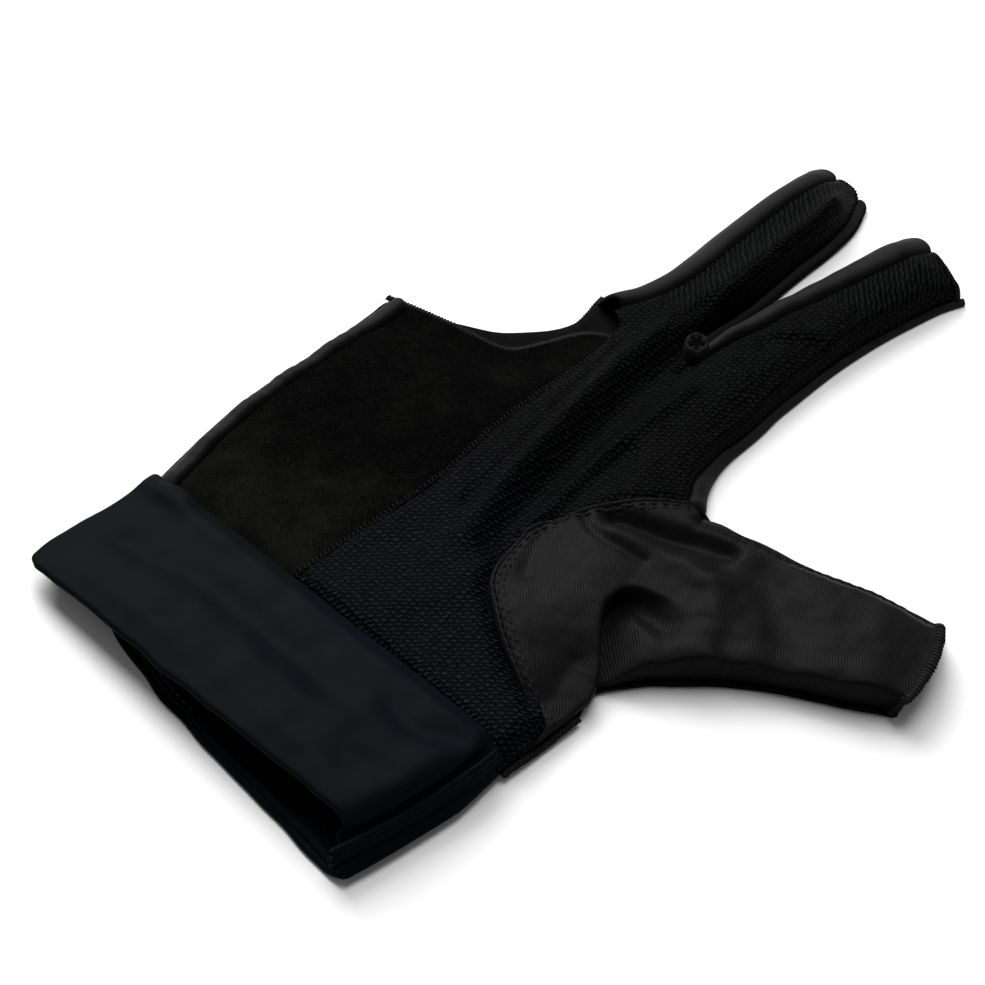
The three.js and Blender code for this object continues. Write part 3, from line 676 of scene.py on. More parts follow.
def mesh_knit():
    """Polyester warp-knit mesh: dull threads in wavy rows with small dark holes between them,
    bluish by the cuff and grey towards the fingers."""
    material, tree, shader = new_cloth("polyester_mesh_knit", 0.5, 0.012)
    # Rows of the real mesh lie about 0.9 mm apart; drawn at 1.05 mm, which the render can show.
    row, stitch = 1.05, 0.95
    flat = cut_place(tree)
    place = cut_place(tree, -PHOTO_LEAN)
    bend = add(tree, "TexNoise", {"Vector": place, "Scale": 0.5, "Detail": 3.0})
    bend = bend.node.outputs["Color"]
    place = add(tree, "VectorMath", {0: bend, 1: (1.8, 1.3, 0), 2: place}, operation="MULTIPLY_ADD")
    curl = add(tree, "CombineXYZ", {"Y": weighted(tree, (wave(tree, place, 0, stitch), 0.16))})
    curled = add(tree, "VectorMath", {0: place, 1: curl}, operation="ADD")
    across, ahead = wave(tree, place, 0, 2 * stitch), wave(tree, place, 1, 2 * row)
    loops = add(tree, "Math", {0: across, 1: ahead}, operation="MULTIPLY")
    rows = weighted(tree, 0.5, (loops, 0.26), (wave(tree, curled, 1, row), 0.26))
    # On the crests of the fingers the loops line up and read as upright ribs.
    rib, dash = wave(tree, place, 0, 1.25), wave(tree, curled, 1, 0.9)
    upright = weighted(tree, 0.5, (rib, 0.4), (dash, 0.1))
    side = add(tree, "Attribute", attribute_name="upright").node.outputs["Fac"]
    knit = add(tree, "Mix", {0: side, 2: rows, 3: upright}, data_type="FLOAT")
    fuzz = add(tree, "TexNoise", {"Vector": place, "Scale": 1.6, "Detail": 4.0, "Roughness": 0.75})
    shade = weighted(tree, (knit, 0.8), (fuzz, 1.1))
    along = add(tree, "SeparateXYZ", {"Vector": flat}).node.outputs["Y"]
    far = add(tree, "MapRange", {"Value": along, "From Min": 62.0, "From Max": 105.0})
    blue, grey = linear("#181b24"), linear("#141616")
    light = add(tree, "MixRGB", {"Fac": far, "Color1": blue, "Color2": grey})
    reliefs = (knit, 0.3, 0.9), (fuzz, 0.25, 0.5)
    finish_cloth(tree, shader, shade, (0.9, 1.5), ("#000000", light), *reliefs)
    return material


def suede():
    """Napped microfibre suede: very matt black with fine fibres lying all ways, and painted light
    that makes it lighter near the cuff."""
    material, tree, shader = new_cloth("microfibre_suede", 0.9, 0.008)
    place = piece_place(tree)
    # Fibres of the real nap are finer than 0.1 mm; drawn at 0.3 mm, which the render can show.
    nap = add(tree, "TexNoise", {"Vector": place, "Scale": 2.6, "Detail": 4.0, "Roughness": 0.8})
    patches = add(tree, "TexNoise", {
        "Vector": place, "Scale": 0.09, "Detail": 4.0, "Roughness": 0.65,
    })
    specks = add(tree, "Math", {0: nap, 1: 11.0}, operation="POWER")
    # Painted light: a lighter tone towards the cuff, standing in for light on the sloping surface
    # there.
    along = add(tree, "SeparateXYZ", {"Vector": place}).node.outputs["Y"]
    ends = {"From Min": -70.0, "From Max": -30.0, "To Min": 0.3, "To Max": 0.0}
    painted_light_by_cuff = add(tree, "MapRange", {"Value": along, **ends})
    shade = weighted(tree, (nap, 0.5), (patches, 0.9), (specks, 110.0), (painted_light_by_cuff, 1.0))
    finish_cloth(tree, shader, shade, (0.75, 2.0), ("#020202", "#1c1c1a"), (nap, 0.25, 0.8))
    return material


def twill():
    """Fine stretch twill: soft grey black, narrow raised ribs and a gloss on its folds."""
    material, tree, shader = new_cloth("stretch_twill", 0.5, 0.03, 0.01, "#c8c8ca")
    # Ribs of the real twill are about 0.4 mm apart; drawn at 0.56 mm, which the render can show.
    place = cut_place(tree, -PHOTO_LEAN - math.radians(4))
    bend = add(tree, "TexNoise", {"Vector": place, "Scale": 0.12, "Detail": 2.0})
    place = add(tree, "VectorMath", {0: bend, 1: (0.8, 0.8, 0), 2: place}, operation="MULTIPLY_ADD")
    rib = wave(tree, place, 0, 0.56)
    patches = add(tree, "TexNoise", {
        "Vector": place, "Scale": 0.16, "Detail": 4.0, "Roughness": 0.6,
    })
    fuzz = add(tree, "TexNoise", {"Vector": place, "Scale": 2.2, "Detail": 3.0, "Roughness": 0.7})
    shade = weighted(tree, (rib, 0.14), (patches, 0.9), (fuzz, 0.35))
    reliefs = (rib, 0.08, 0.35), (fuzz, 0.1, 0.3)
    finish_cloth(tree, shader, shade, (0.1, 1.1), ("#040404", "#101011"), *reliefs)
    return material


def jersey(name, colours, pitch, roughness, specular, sheen_colour, lean=0.0):
    """Smooth polyester elastane jersey: very fine ribs, an even dark tone and a soft gloss."""
    material, tree, shader = new_cloth(name, roughness, specular, 0.008, sheen_colour)
    place = cut_place(tree, lean)
    rib = wave(tree, place, 0, pitch)
    patches = add(tree, "TexNoise", {
        "Vector": place, "Scale": 0.12, "Detail": 4.0, "Roughness": 0.55,
    })
    fuzz = add(tree, "TexNoise", {"Vector": place, "Scale": 2.0, "Detail": 3.0, "Roughness": 0.7})
    shade = weighted(tree, 0.3, (patches, 0.4), (rib, 0.06), (fuzz, 0.25))
    reliefs = (patches, 0.5, 0.25), (rib, 0.05, 0.15), (fuzz, 0.06, 0.3)
    finish_cloth(tree, shader, shade, (0.3, 0.95), colours, *reliefs)
    return material


def thread(name, dark, light):
    """Spun polyester sewing thread: matt, with a fine twist."""
    material, tree, shader = new_cloth(name, 0.6, 0.03, 0.01, "#c0c0c2")
    place = piece_place(tree)
    twist = add(tree, "TexNoise", {"Vector": place, "Scale": 2.5, "Detail": 3.0, "Roughness": 0.7})
    finish_cloth(tree, shader, twist, (0.35, 0.65), (dark, light), (twist, 0.1, 0.6))
    return material


# The rows of the mesh run level in the photograph, which is this far round from the hand's X.
PHOTO_LEAN = math.radians(46.4)
# Each finish is a material and its slot.
MESH_KNIT = mesh_knit(), "mesh_knit"
SUEDE = suede(), "suede"
TWILL = twill(), "twill"
# Ribs of the real jerseys are about 0.3 mm apart; drawn at 0.6 mm, which the render can show.
CUFF_KNIT = jersey(
    "polyester_elastane_jersey", ("#030507", "#090b10"), 0.6, 0.5, 0.011, "#a8b4d0"
), "cuff_knit"
STRIP_KNIT = jersey(
    "brushed_elastane_jersey", ("#121212", "#1f1f1f"), 0.6, 0.6, 0.025, "#c8c8ca", 0.8
), "strip_knit"
PALM_KNIT = jersey(
    "plain_polyester_jersey", ("#060606", "#0f0f0f"), 0.7, 0.7, 0.01, "#b0b0b2"
), "palm_knit"
THREAD = thread("spun_polyester_thread", "#0b0b0b", "#1e1e1f"), "thread"
PALE_THREAD = thread("pale_polyester_thread", "#242427", "#4a4a4d"), "thread"


# Pieces

CUFF_LINE = np.array([(-60.0, CUFF_HEIGHT), (60.0, CUFF_HEIGHT)])
CLOTH_START = CUFF_HEIGHT - 1.0


def cover(name, outline, step, surface, finish, node):
    """A cloth of the back, cut flat to its outline and laid by its surface."""
    flat, faces = cut_cloth(outline, step)
    piece = new_piece(name, surface(flat), faces, finish, [node], flat)
    thickened(piece, CLOTH)
    return piece, flat


def suede_cloth(flat):
    """The suede of the back, which slumps towards its free edge by the fingers."""
    seams = [
        (side_seam, 1.6, 5.0), (side_seam, 2.4, 1.3), (SUEDE_SEAM, 0.5, 1.4), (CUFF_LINE, 2.0, 2.5),
    ]
    places = draped(flat, [], seams, uneven=0.14, seed=1)
    gap, _, along, _ = nearest(flat, SUEDE_EDGE)
    share = along / lengths_along(SUEDE_EDGE)[-1]
    edge = np.interp(share, (0, 0.5, 0.85, 1), (3.4, 3.8, 5.2, 6.6))
    places[:, 2] += (edge - places[:, 2]) * bell(gap, 9.0)
    return places


def add_suede():
    """The suede panel with its overlocked free edge and its seam to the mesh."""
    outline = joined(
        (side_seam[0, 0], CLOTH_START), (SUEDE_SEAM[0, 0], CLOTH_START),
        part_of(SUEDE_SEAM, CLOTH_START + 1), SUEDE_EDGE[::-1],
        part_of(side_seam, CLOTH_START + 1, SUEDE_EDGE[0, 1] - 1)[::-1],
    )
    cover("back_suede_cloth", outline, 0.8, suede_cloth, SUEDE, "back_suede")
    line = suede_cloth(beside(SUEDE_EDGE, -0.3))
    line[:, 2] -= 0.4
    overlock("suede_overlock_thread", line, 0.75, 0.5, 0.85, ["suede_overlock"])
    line = suede_cloth(part_of(SUEDE_SEAM, CLOTH_START + 2))
    line[:, 2] += 0.1
    overlock("suede_seam_thread", line, 0.3, 0.3, 1.15, radius=0.2, core=False)


# The mesh's sides: over the low strips of both fingers, and down to the table by the wrist
index_wall = Wall(run_on(web_inner, 4), 2.6, np.pad(web_height, 1, "edge") - 0.5, 3.4, 0.7)
middle_line = run_on(inner_inner, 4)
middle_spare = np.interp(lengths_along(middle_line), (0, 4, 12), (0.2, 0.8, 3.4))
middle_low = np.pad(inner_height, 1, "edge") - 0.5
middle_wall = Wall(middle_line, 3.6, middle_low, middle_spare, 0.85, fade=9.0)
wrist_start, wrist_end = (body_right[0, 0] + 1.2, CLOTH_START - 6), (body_right[0, 0] + 1.2, 52)
wrist_line = np.linspace(wrist_start, wrist_end, 20)
wrist_wall = Wall(wrist_line, 5.0, 1.0, 4.0, 0.8)
mesh_seams = [
    (SUEDE_SEAM, 0.6, 1.3), (beside(middle_left_seam, 0.4), 2.2, 1.7),
    (beside(index_left_seam, 0.4), 2.2, 1.7), (THUMB_SEAM, 1.8, 2.4), (CUFF_LINE, 2.0, 2.5),
]


def mesh_cloth(flat):
    """The mesh of the back and of both fingers."""
    return draped(flat, [index_wall, middle_wall, wrist_wall], mesh_seams, seed=3)


def add_mesh():
    """The mesh of the back and the fingers, with the overlocked rims of both fingertips."""
    outline = joined(
        (body_right[0, 0] + 4, CLOTH_START), (body_right[0, 0] + 4, CUFF_HEIGHT + 13),
        beside(THUMB_SEAM, 1.2)[::-1],
        part_of(index_wall.cut_edge(), WEB[1] + 5, index_right[-1, 1]),
        part_of(index_left_seam, GATHER[1] + 1.5)[::-1], GATHER - (1.5, 0),
        part_of(middle_wall.cut_edge(), GATHER[1], middle_left[-1, 1]),
        part_of(middle_left_seam, SUEDE_SEAM[-1, 1] + 3)[::-1],
        part_of(SUEDE_SEAM, CLOTH_START + 1)[::-1], (SUEDE_SEAM[0, 0], CLOTH_START),
    )
    piece, flat = cover("back_mesh_cloth", outline, 0.8, mesh_cloth, MESH_KNIT, "back_mesh")
    # Where the loops read as upright ribs: left of the crest of each finger
    x, y = flat.T
    middle_crest = np.interp(y, (150, 164, 205, 220), (-6, -6.5, -9, -12))
    index_crest = np.interp(y, (160, 167, 179, 190, 206, 214), (15, 17, 21, 24.5, 28, 27))
    upright = ((y - 152) / 8).clip(0, 1) * ((middle_crest - x) / 0.8).clip(0, 1) * (x < 0)
    upright += ((y - 176) / 12).clip(0, 1) * ((index_crest - x) / 0.8).clip(0, 1) * (x > 0) * 0.8
    layer = piece.data.attributes.new("upright", "FLOAT", "POINT")
    layer.data.foreach_set("value", upright)
    for name, low, high in (
        ("middle_tip", middle_left_seam[-1], middle_wall.cut_edge()[-3]),
        ("index_tip", index_left_seam[-1], index_wall.cut_edge()[-3]),
    ):
        share = np.linspace(0, 1, 40)[:, None]
        line = mesh_cloth(low + (high - low) * share)
        line[:, 2] = np.maximum(line[:, 2] - 0.5, 0.9)
        overlock(name + "_thread", line, 0.5, 0.45, 0.8, [name + "_overlock"])


# The thumb's lower side, from the cuff round the overhanging fold to the thumb's end
thumb_low_line = eased(joined(
    part_of(body_right, CUFF_HEIGHT + 4, 57) + (0.8, 0), (54.7, 59.5), (52.4, 64.0),
    part_of(thumb_right, 58, None, 0)[:-2],
), rounds=5)
LOW_CORNER = np.array([(54.2, 63.0)])
past_corner = lengths_along(thumb_low_line) - nearest(LOW_CORNER, thumb_low_line)[2][0]
to_end = past_corner[-1] - past_corner
thumb_low_line = beside(
    thumb_low_line, 2.2 * bell(to_end, 7) - 1.9 * bell(past_corner - 18, 12) - 0.3
)
thumb_spare = 6.6 - 3.6 * bell(past_corner, 9.0)
thumb_wall = Wall(thumb_low_line, 5.2, 0.5, thumb_spare, 0.72, under=1.0)
# The fold that hangs over the thumb's root, where it fades out and how far its hollow reaches
LOBE = smooth_line([
    (48.5, 87.5), (45.5, 86.5), (42.5, 84), (42, 79.5), (44, 75), (48.5, 70), (52.5, 65.5),
    (55.5, 61),
], 50)
LOBE_TOP = (82.0, 89.0)
LOBE_REACH = 7.5
# Soft folds of the thumb: three places, lift and spread in millimetres
THUMB_FOLDS = fold_lines([
    ((27, 97.5), (38, 102.6), (50, 108), -2.2, 2.3),
    ((31, 93), (42, 96.5), (54, 97), 0.9, 3.0),
    ((58.9, 110), (65.2, 107.2), (71, 104), -0.6, 5.0),
    ((56, 99), (60, 93), (64, 88), 0.9, 3.0),
    ((60.5, 89), (66.5, 88.5), (71.5, 87.5), -0.7, 2.6),
    ((70, 93), (74, 91.5), (77, 90.5), 0.4, 3.0),
    ((54.5, 82.5), (57.5, 80.5), (60, 77), -0.6, 2.2),
    ((84, 118), (88, 110), (93, 103), 0.6, 4.0),
    ((22.5, 92.5), (28.7, 90.1), (40, 92), -0.9, 1.3),
    ((19.7, 83.5), (21.5, 78.2), (26, 71.5), -0.8, 1.8),
    ((90, 127), (97, 118), (103, 106), -1.8, 7.0),
    ((55, 38), (55, 50), (53.5, 62), -5.0, 8.0),
    ((60, 119), (75, 123.5), (92, 128), -1.2, 5.0),
])


def thumb_cloth(flat):
    """The twill of the thumb, with the fold that hangs over its root."""
    seams = [(beside(thumb_inner, -0.5), 1.8, 1.8), (CUFF_LINE, 2.0, 2.5)]
    places = draped(flat, [thumb_wall], seams, 0.7, 0.1, 5, THUMB_FOLDS)
    gap, _, along, side = nearest(places[:, :2], LOBE)
    past = gap * side
    fade = ((LOBE_TOP[1] - places[:, 1]) / (LOBE_TOP[1] - LOBE_TOP[0])).clip(0, 1)
    strength = fade * fade * (3 - 2 * fade)
    drop = 1 / (1 + np.exp(-(past - 0.2) / 0.35)) * bell(np.maximum(past, 0), LOBE_REACH)
    places[:, 2] -= strength * drop * 0.62 * (places[:, 2] - 0.4)
    ways = read_along(LOBE, directions(LOBE), along)
    away = np.stack([-ways[:, 1], ways[:, 0]], 1)
    slide = 1.7 * bell(past + 0.9, 1.8) - 1.0 * bell(past - 1.0, 1.4)
    places[:, :2] += away * (slide * strength)[:, None]
    return places


def add_thumb():
    """The twill of the thumb, whose open end bows out and is overlocked."""
    share = np.linspace(0, 1, 60)
    ends = joined(thumb_inner[-1], thumb_wall.cut_edge()[-1])
    bulge = 0.4 + 3.2 * np.sin(share * math.pi) ** 0.8 - 2.2 * share**2
    end = at_share(ends, share) + THUMB_AHEAD * bulge[:, None]
    outline = joined(
        beside(THUMB_SEAM, 0.6), thumb_wall.cut_edge()[1:-1], end[::-1],
        part_of(thumb_inner, WEB[0] + 4, None, 0)[::-1],
    )
    cover("thumb_panel_cloth", outline, 0.6, thumb_cloth, TWILL, "thumb_panel")
    line = thumb_cloth(end)
    line[:, 2] = np.maximum(line[:, 2] - 0.4, 1.0)
    overlock("thumb_end_thread", line, 1.0, 0.6, 0.9, ["thumb_overlock"])


# The lap seam: its profile from the mesh's side to the panel's, where its stitches lie in it and
# how far apart they are. Real ones are nearer 2 mm; drawn at 2.5 mm, which the render can show.
LAP_PROFILE = table("across height", [
    (-0.6, -1.4), (-0.5, -0.5), (-0.25, 0.15), (0.1, 0.36), (0.45, 0.3), (0.75, 0.05),
    (1.05, -0.2), (1.3, -0.3), (1.55, -0.2), (1.9, 0.08), (2.3, 0.14), (2.7, 0.05), (3.1, -0.5),
])
LAP_STITCH_LINE, LAP_PITCH = 1.3, 2.5


def add_lap_seam():
    """The lap where the twill is folded and sewn over the mesh, drawn in at each stitch."""
    line = evened(THUMB_SEAM, 0.3)
    along = lengths_along(line)
    hole = bell((along + LAP_PITCH / 2) % LAP_PITCH - LAP_PITCH / 2, 0.6)
    rows = []
    for across, height in zip(LAP_PROFILE["across"], LAP_PROFILE["height"]):
        row = thumb_cloth(beside(line, across))
        row[:, 2] += height - 1.3 * hole * bell(across - LAP_STITCH_LINE, 0.8)
        rows.append(row)
    cut = grid_cut(LAP_PROFILE["across"], along)[:, ::-1]
    thickened(grid_piece("thumb_lap_fold", rows, TWILL, "thumb_lap_seam", cut), 0.6)
    row = thumb_cloth(beside(line, LAP_STITCH_LINE))
    row[:, 2] += 0.12
    stitches("thumb_lap_stitches", row, LAP_PITCH - 0.75, 0.75, 0.27, THREAD)


# Profiles of a strip from its seam to its outer edge: shares of its width and of its height
ROLLED = smooth_line([
    (-0.02, 0.45), (-0.05, 0.68), (0.0, 0.87), (0.08, 0.96), (0.22, 0.98), (0.37, 0.93),
    (0.52, 0.82), (0.66, 0.67), (0.8, 0.49), (0.92, 0.33), (1.0, 0.18), (1.0, 0.1), (0.93, 0.04),
    (0.8, 0.03),
], 30)
LOW_STRIP = smooth_line([
    (-0.55, 0.5), (-0.3, 0.8), (0.0, 1.02), (0.35, 1.1), (0.75, 0.95), (1.02, 0.62), (1.06, 0.35),
    (0.95, 0.12), (0.7, 0.06), (0.2, 0.05),
], 30)


def strip(side, inner, outer, crest, seed, shape=ROLLED, puff=0.03, closed=False, wall=0.9,
          with_pieces=()):
    """A strip of a side: its profile swept between its seam and its outer edge, as high as its
    crest. closed rounds off its near end too."""
    step = 0.8
    count = max(8, round(lengths_along(outer)[-1] / step))
    share = np.linspace(0, 1, count)
    start, end = at_share(inner, share), at_share(outer, share)
    tops = np.interp(share, np.linspace(0, 1, len(crest)), crest)
    along = np.stack([share * lengths_along(outer)[-1], np.zeros(count)], 1)
    swell = puff * waves(along, 9.0, seed)
    rings = []
    for i in range(count):
        flat = start[i] + shape[:, :1] * (end[i] - start[i])
        rings.append(np.concatenate([flat, shape[:, 1:] * tops[i] * (1 + swell[i])], 1))
    way = np.append(end[-1] - end[-2], 0) / np.linalg.norm(end[-1] - end[-2])
    last, middle = rings[-1], rings[-1].mean(0)
    for forward, size in ((0.45, 0.98), (0.75, 0.92)):
        rings.append(middle + (last - middle) * size + way * forward)
    if closed:
        way = np.append(end[0] - end[1], 0) / np.linalg.norm(end[0] - end[1])
        first, middle = rings[0], rings[0].mean(0)
        for forward, size in ((0.5, 0.96), (1.0, 0.84), (1.3, 0.6), (1.4, 0.3), (1.4, 0.05)):
            rings.insert(0, middle + (first - middle) * size + way * forward)
    cut = grid_cut(np.arange(len(rings)) * step, lengths_along(rings[count // 2]))
    laid = [np.maximum(ring, (-np.inf, -np.inf, 0.5)) for ring in rings]
    piece = grid_piece(side + "_cloth", laid, STRIP_KNIT, side + "_strip", cut, flip=True)
    thickened(piece, wall)


def add_strips():
    """The smooth strips along the sides of the hand, the fingers and the thumb."""
    low, high = CLOTH_START, SUEDE_EDGE[0, 1]
    inner = part_of(side_seam, low, high)
    tops = suede_cloth(inner)[:, 2] + 2.3
    strip("little_finger_side", inner, part_of(body_left, low, high), tops, 11)
    low = FINGER_ROOT[1] - 3
    inner, outer = part_of(middle_left_seam, low), beside(part_of(middle_left, low), 0.6)
    strip("middle_outer", inner, outer, back_height(inner), 12)
    low = FINGER_ROOT[1] - 2.5
    inner, outer = part_of(index_left_seam, low), beside(part_of(index_left, low), 1.2)
    gather = [bpy.data.objects["crotch_gather_cloth"]]
    strip("index_outer", inner, outer, back_height(inner) + 0.5, 13, with_pieces=gather)
    low_one = {"shape": LOW_STRIP, "closed": True, "wall": 0.45}
    strip("middle_inner", inner_inner, inner_outer, inner_height, 14, puff=0.05, **low_one)
    strip("index_web", web_inner, web_outer, web_height, 15, puff=0.07, **low_one)
    strip("thumb_web", thumb_inner, thumb_outer, thumb_height, 16, puff=0.05, closed=True)


def add_gather():
    """The curled end of cloth in the crotch between the fingers, puckered like a star."""
    turn = np.arange(60) / 60 * math.tau
    face = [(radius, 0.0) for radius in np.linspace(0.05, 2.5, 12)]
    side = [(2.75, 0.8), (2.85, 1.8), (2.9, 3.5)]
    rows = []
    for radius, drop in face + side:
        rim = bell(radius - 2.1, 0.5) - bell(radius, 0.6)
        height = 8.0 + rim + np.cos(5 * turn + 0.6) * bell(radius - 1.1, 0.7) - drop
        x = GATHER[0] + radius * np.cos(turn) * 1.05
        y = GATHER[1] + radius * np.sin(turn) * 1.05
        lean = 0.22 * (x - GATHER[0]) - 0.2 * (y - GATHER[1])
        rows.append(np.stack([x, y, height - lean], 1))
    cut = np.concatenate(rows)[:, :2]
    grid_piece("crotch_gather_cloth", rows, STRIP_KNIT, "crotch_gather", cut, closed=True)


def add_palm():
    """The palm's lower layer, with its overlocked edge by the fingers and its seam by the wrist."""
    outline = joined(
        (body_right[0, 0] - 1, CLOTH_START), thumb_low_line, thumb_outer[::-1], web_outer,
        part_of(index_left, FINGER_ROOT[1] + 1)[::-1], part_of(middle_right, FINGER_ROOT[1] + 1),
        part_of(middle_left, FINGER_ROOT[1] + 1)[::-1], PALM_EDGE[::-1],
        part_of(body_left, CLOTH_START, PALM_EDGE[0, 1] - 1)[::-1],
    )
    flat, faces = cut_cloth(outline, 1.5)
    rim = bell(nearest(flat, joined(outline, outline[0]))[0], 2.0)
    free = bell(nearest(flat, PALM_EDGE)[0], 3.0)
    laid = lifted(flat, 1.15 + 0.4 * rim + 0.1 * waves(flat, 12.0, 21) + 0.8 * free)
    piece = new_piece("palm_panel_cloth", laid, faces, PALM_KNIT, ["palm_panel"], flat)
    thickened(piece, 0.9)
    line = lifted(PALM_EDGE, 0.9 + 0.8 * np.linspace(0, 1, len(PALM_EDGE)) ** 4)
    overlock("palm_overlock_thread", line, 0.75, 0.5, 0.9, ["palm_overlock"])
    side = part_of(body_right, CUFF_HEIGHT, 57)
    line = lifted(side + (1.2, 0), 1.6 + 0.3 * np.sin(np.linspace(0, 9, len(side))))
    overlock("side_seam_thread", line, 0.8, 0.6, 1.0, ["side_seam_overlock"])


# The cuff from its mouth to its seam: where its two ends lie as shares of its width, how far the
# row is out of level and how high it is, and then its two sides' heights across it
CUFF = table("along left right skew high", [
    (-0.06, -0.487, 0.472, -0.06, 0.97),
    (0.1, -0.492, 0.485, -0.04, 1.0),
    (0.35, -0.49, 0.498, -0.02, 0.98),
    (0.6, -0.489, 0.508, 0, 0.93),
    (0.85, -0.495, 0.512, 0, 0.86),
    (1.0, -0.505, 0.508, 0, 0.78),
])
CUFF_ACROSS = table("across upper lower", [
    (-0.5, 0.52, 0.12), (-0.42, 0.62, 0.08), (-0.3, 0.73, 0.03), (-0.2, 0.8, 0), (0.1, 0.9, 0),
    (0.3, 0.98, 0), (0.5, 1.02, 0),
])
# The mouth's upper and lower lip: how far along the hand they lie, by the place across
UPPER_LIP = ((-53, -48, -42, -30, 0, 30, 50), (3.6, 1.0, 1.2, 1.4, 1.2, 1.8, 2.4))
LOWER_LIP = (
    (-54, -42, -37, -30, -25, -9, 9, 25, 41, 51, 55, 59),
    (9, 8.5, 7.8, 5.8, 4.2, 1.2, -0.9, -1.9, -3, -4, -3.2, -0.5),
)
# Soft folds of the cuff: three places, lift and spread in millimetres
CUFF_FOLDS = fold_lines([
    ((-40, 17), (-12, 21), (22, 19), -1.2, 4.5),
    ((34, 25), (42, 24), (50, 29), -1.1, 3.5),
    ((38, 7), (42, 9), (46, 10), -0.7, 3.6),
    ((-51, 33), (-47, 34), (-42, 36), 1.2, 3.5),
    ((-40, 5), (0, 6), (30, 4), 0.35, 4.0),
    ((-46, 33), (0, 33), (46, 33), 0.5, 2.6),
    ((-44, 27), (-34, 25), (-25, 26), -0.4, 4.0),
    ((5, 13), (18, 12), (30, 13), 0.4, 4.0),
])
CUFF_STATIONS = 44
cuff_left, cuff_right = (
    smooth_line(np.stack([
        CUFF[side] * CUFF_WIDTH, (CUFF["along"] + sign * CUFF["skew"]) * CUFF_HEIGHT,
    ], 1), CUFF_STATIONS)
    for side, sign in (("left", -1), ("right", 1))
)
cuff_high = np.interp(np.linspace(0, 5, CUFF_STATIONS), range(6), CUFF["high"]) * CUFF_RISE


def cuff_heights(flat, high):
    """The upper and lower height of the cuff over places of the plan."""
    share = flat[:, 0] / CUFF_WIDTH
    upper = high * np.interp(share, CUFF_ACROSS["across"], CUFF_ACROSS["upper"])
    lower = CUFF_RISE * np.interp(share, CUFF_ACROSS["across"], CUFF_ACROSS["lower"])
    return folded(upper, flat, CUFF_FOLDS) + 0.12 * waves(flat, 11.0, 31), lower


def cuff_ring(i, inset, shift=0.0):
    """One ring round the cuff at a station, set in from its outside and shifted along it. It runs
    over the upper side and back under the lower one, with its two ends rounded."""
    width = cuff_right[i] - cuff_left[i]
    span = np.linalg.norm(width)
    turn = np.linspace(0, math.pi / 2, 10)
    bow, level = 1 - np.cos(turn), np.sin(turn)
    left_round, right_round, low_round = 2.2, 5.5, 2.0
    across = np.concatenate([
        left_round * bow[:-1], np.linspace(left_round, span - right_round, 96),
        span - right_round * bow[::-1][1:], span - left_round * bow[1:],
        np.linspace(span - left_round, low_round, 70)[1:-1], low_round * bow[::-1][:-1],
    ])
    rise = np.concatenate([
        level[:-1], np.ones(96), level[::-1][1:], -level[1:], -np.ones(68), -level[::-1][:-1],
    ])
    flat = cuff_left[i] + across[:, None] / span * width
    upper, lower = cuff_heights(flat, cuff_high[i])
    middle = (upper + lower) / 2
    z = middle + (upper - lower) / 2 * rise
    # The lower side swells out past the right end, and a groove runs above it.
    end = (across > 0.9 * span) * (1 - np.abs(rise) ** 4)
    swell = np.interp(i, (0, 12, 26, 34, 43), (5.2, 4.6, 3.8, 2.2, 1.6))
    out = end * (swell * bell(z - 1.8, 2.0) - 1.6 * bell(z - 8.9, 1.1))
    inward = np.sign(across / span - 0.5) * (1 - np.abs(rise))
    flat = flat + ((out - inset * inward)[:, None]) * (width / span)
    z = z - inset * rise
    back = 1 - i / (CUFF_STATIONS - 1)
    x = flat[:, 0]
    mouth = np.interp(x, *np.stack([cuff_left[0], cuff_right[0]], 1))
    lip = np.interp(x, *UPPER_LIP) * (1 + rise) / 2 + np.interp(x, *LOWER_LIP) * (1 - rise) / 2
    flat[:, 1] += (lip - mouth + 0.2 * waves(flat, 16.0, 33)) * back + shift
    return lifted(flat, np.maximum(z, 0.06))


def add_cuff():
    """The cuff as one closed skin: outside, round the mouth's lip, inside and round the far end."""
    outer = [cuff_ring(i, 0.0) for i in range(CUFF_STATIONS)]
    inner = [cuff_ring(i, CUFF_WALL) for i in range(CUFF_STATIONS)]
    half, last = CUFF_WALL / 2, CUFF_STATIONS - 1
    turns = np.linspace(0, math.pi, 7)[1:-1]
    front = [cuff_ring(0, half * (1 - math.cos(t)), -half * math.sin(t)) for t in turns]
    back = [cuff_ring(last, half * (1 + math.cos(t)), 1.1 * math.sin(t)) for t in turns]
    rings = outer[::-1] + front + inner + back
    columns = len(rings[0])
    around = lengths_along(rings[0])
    cut = grid_cut(np.arange(len(rings)) * 0.85, around)
    faces = grid_faces(len(rings), columns, closed=True)
    end = (len(rings) - 1) * columns
    for k in range(columns):
        faces.append((end + k, end + (k + 1) % columns, (k + 1) % columns, k))
    places = np.concatenate(rings)
    piece = new_piece("cuff_band_cloth", places, faces, CUFF_KNIT, ["cuff_band"], cut)


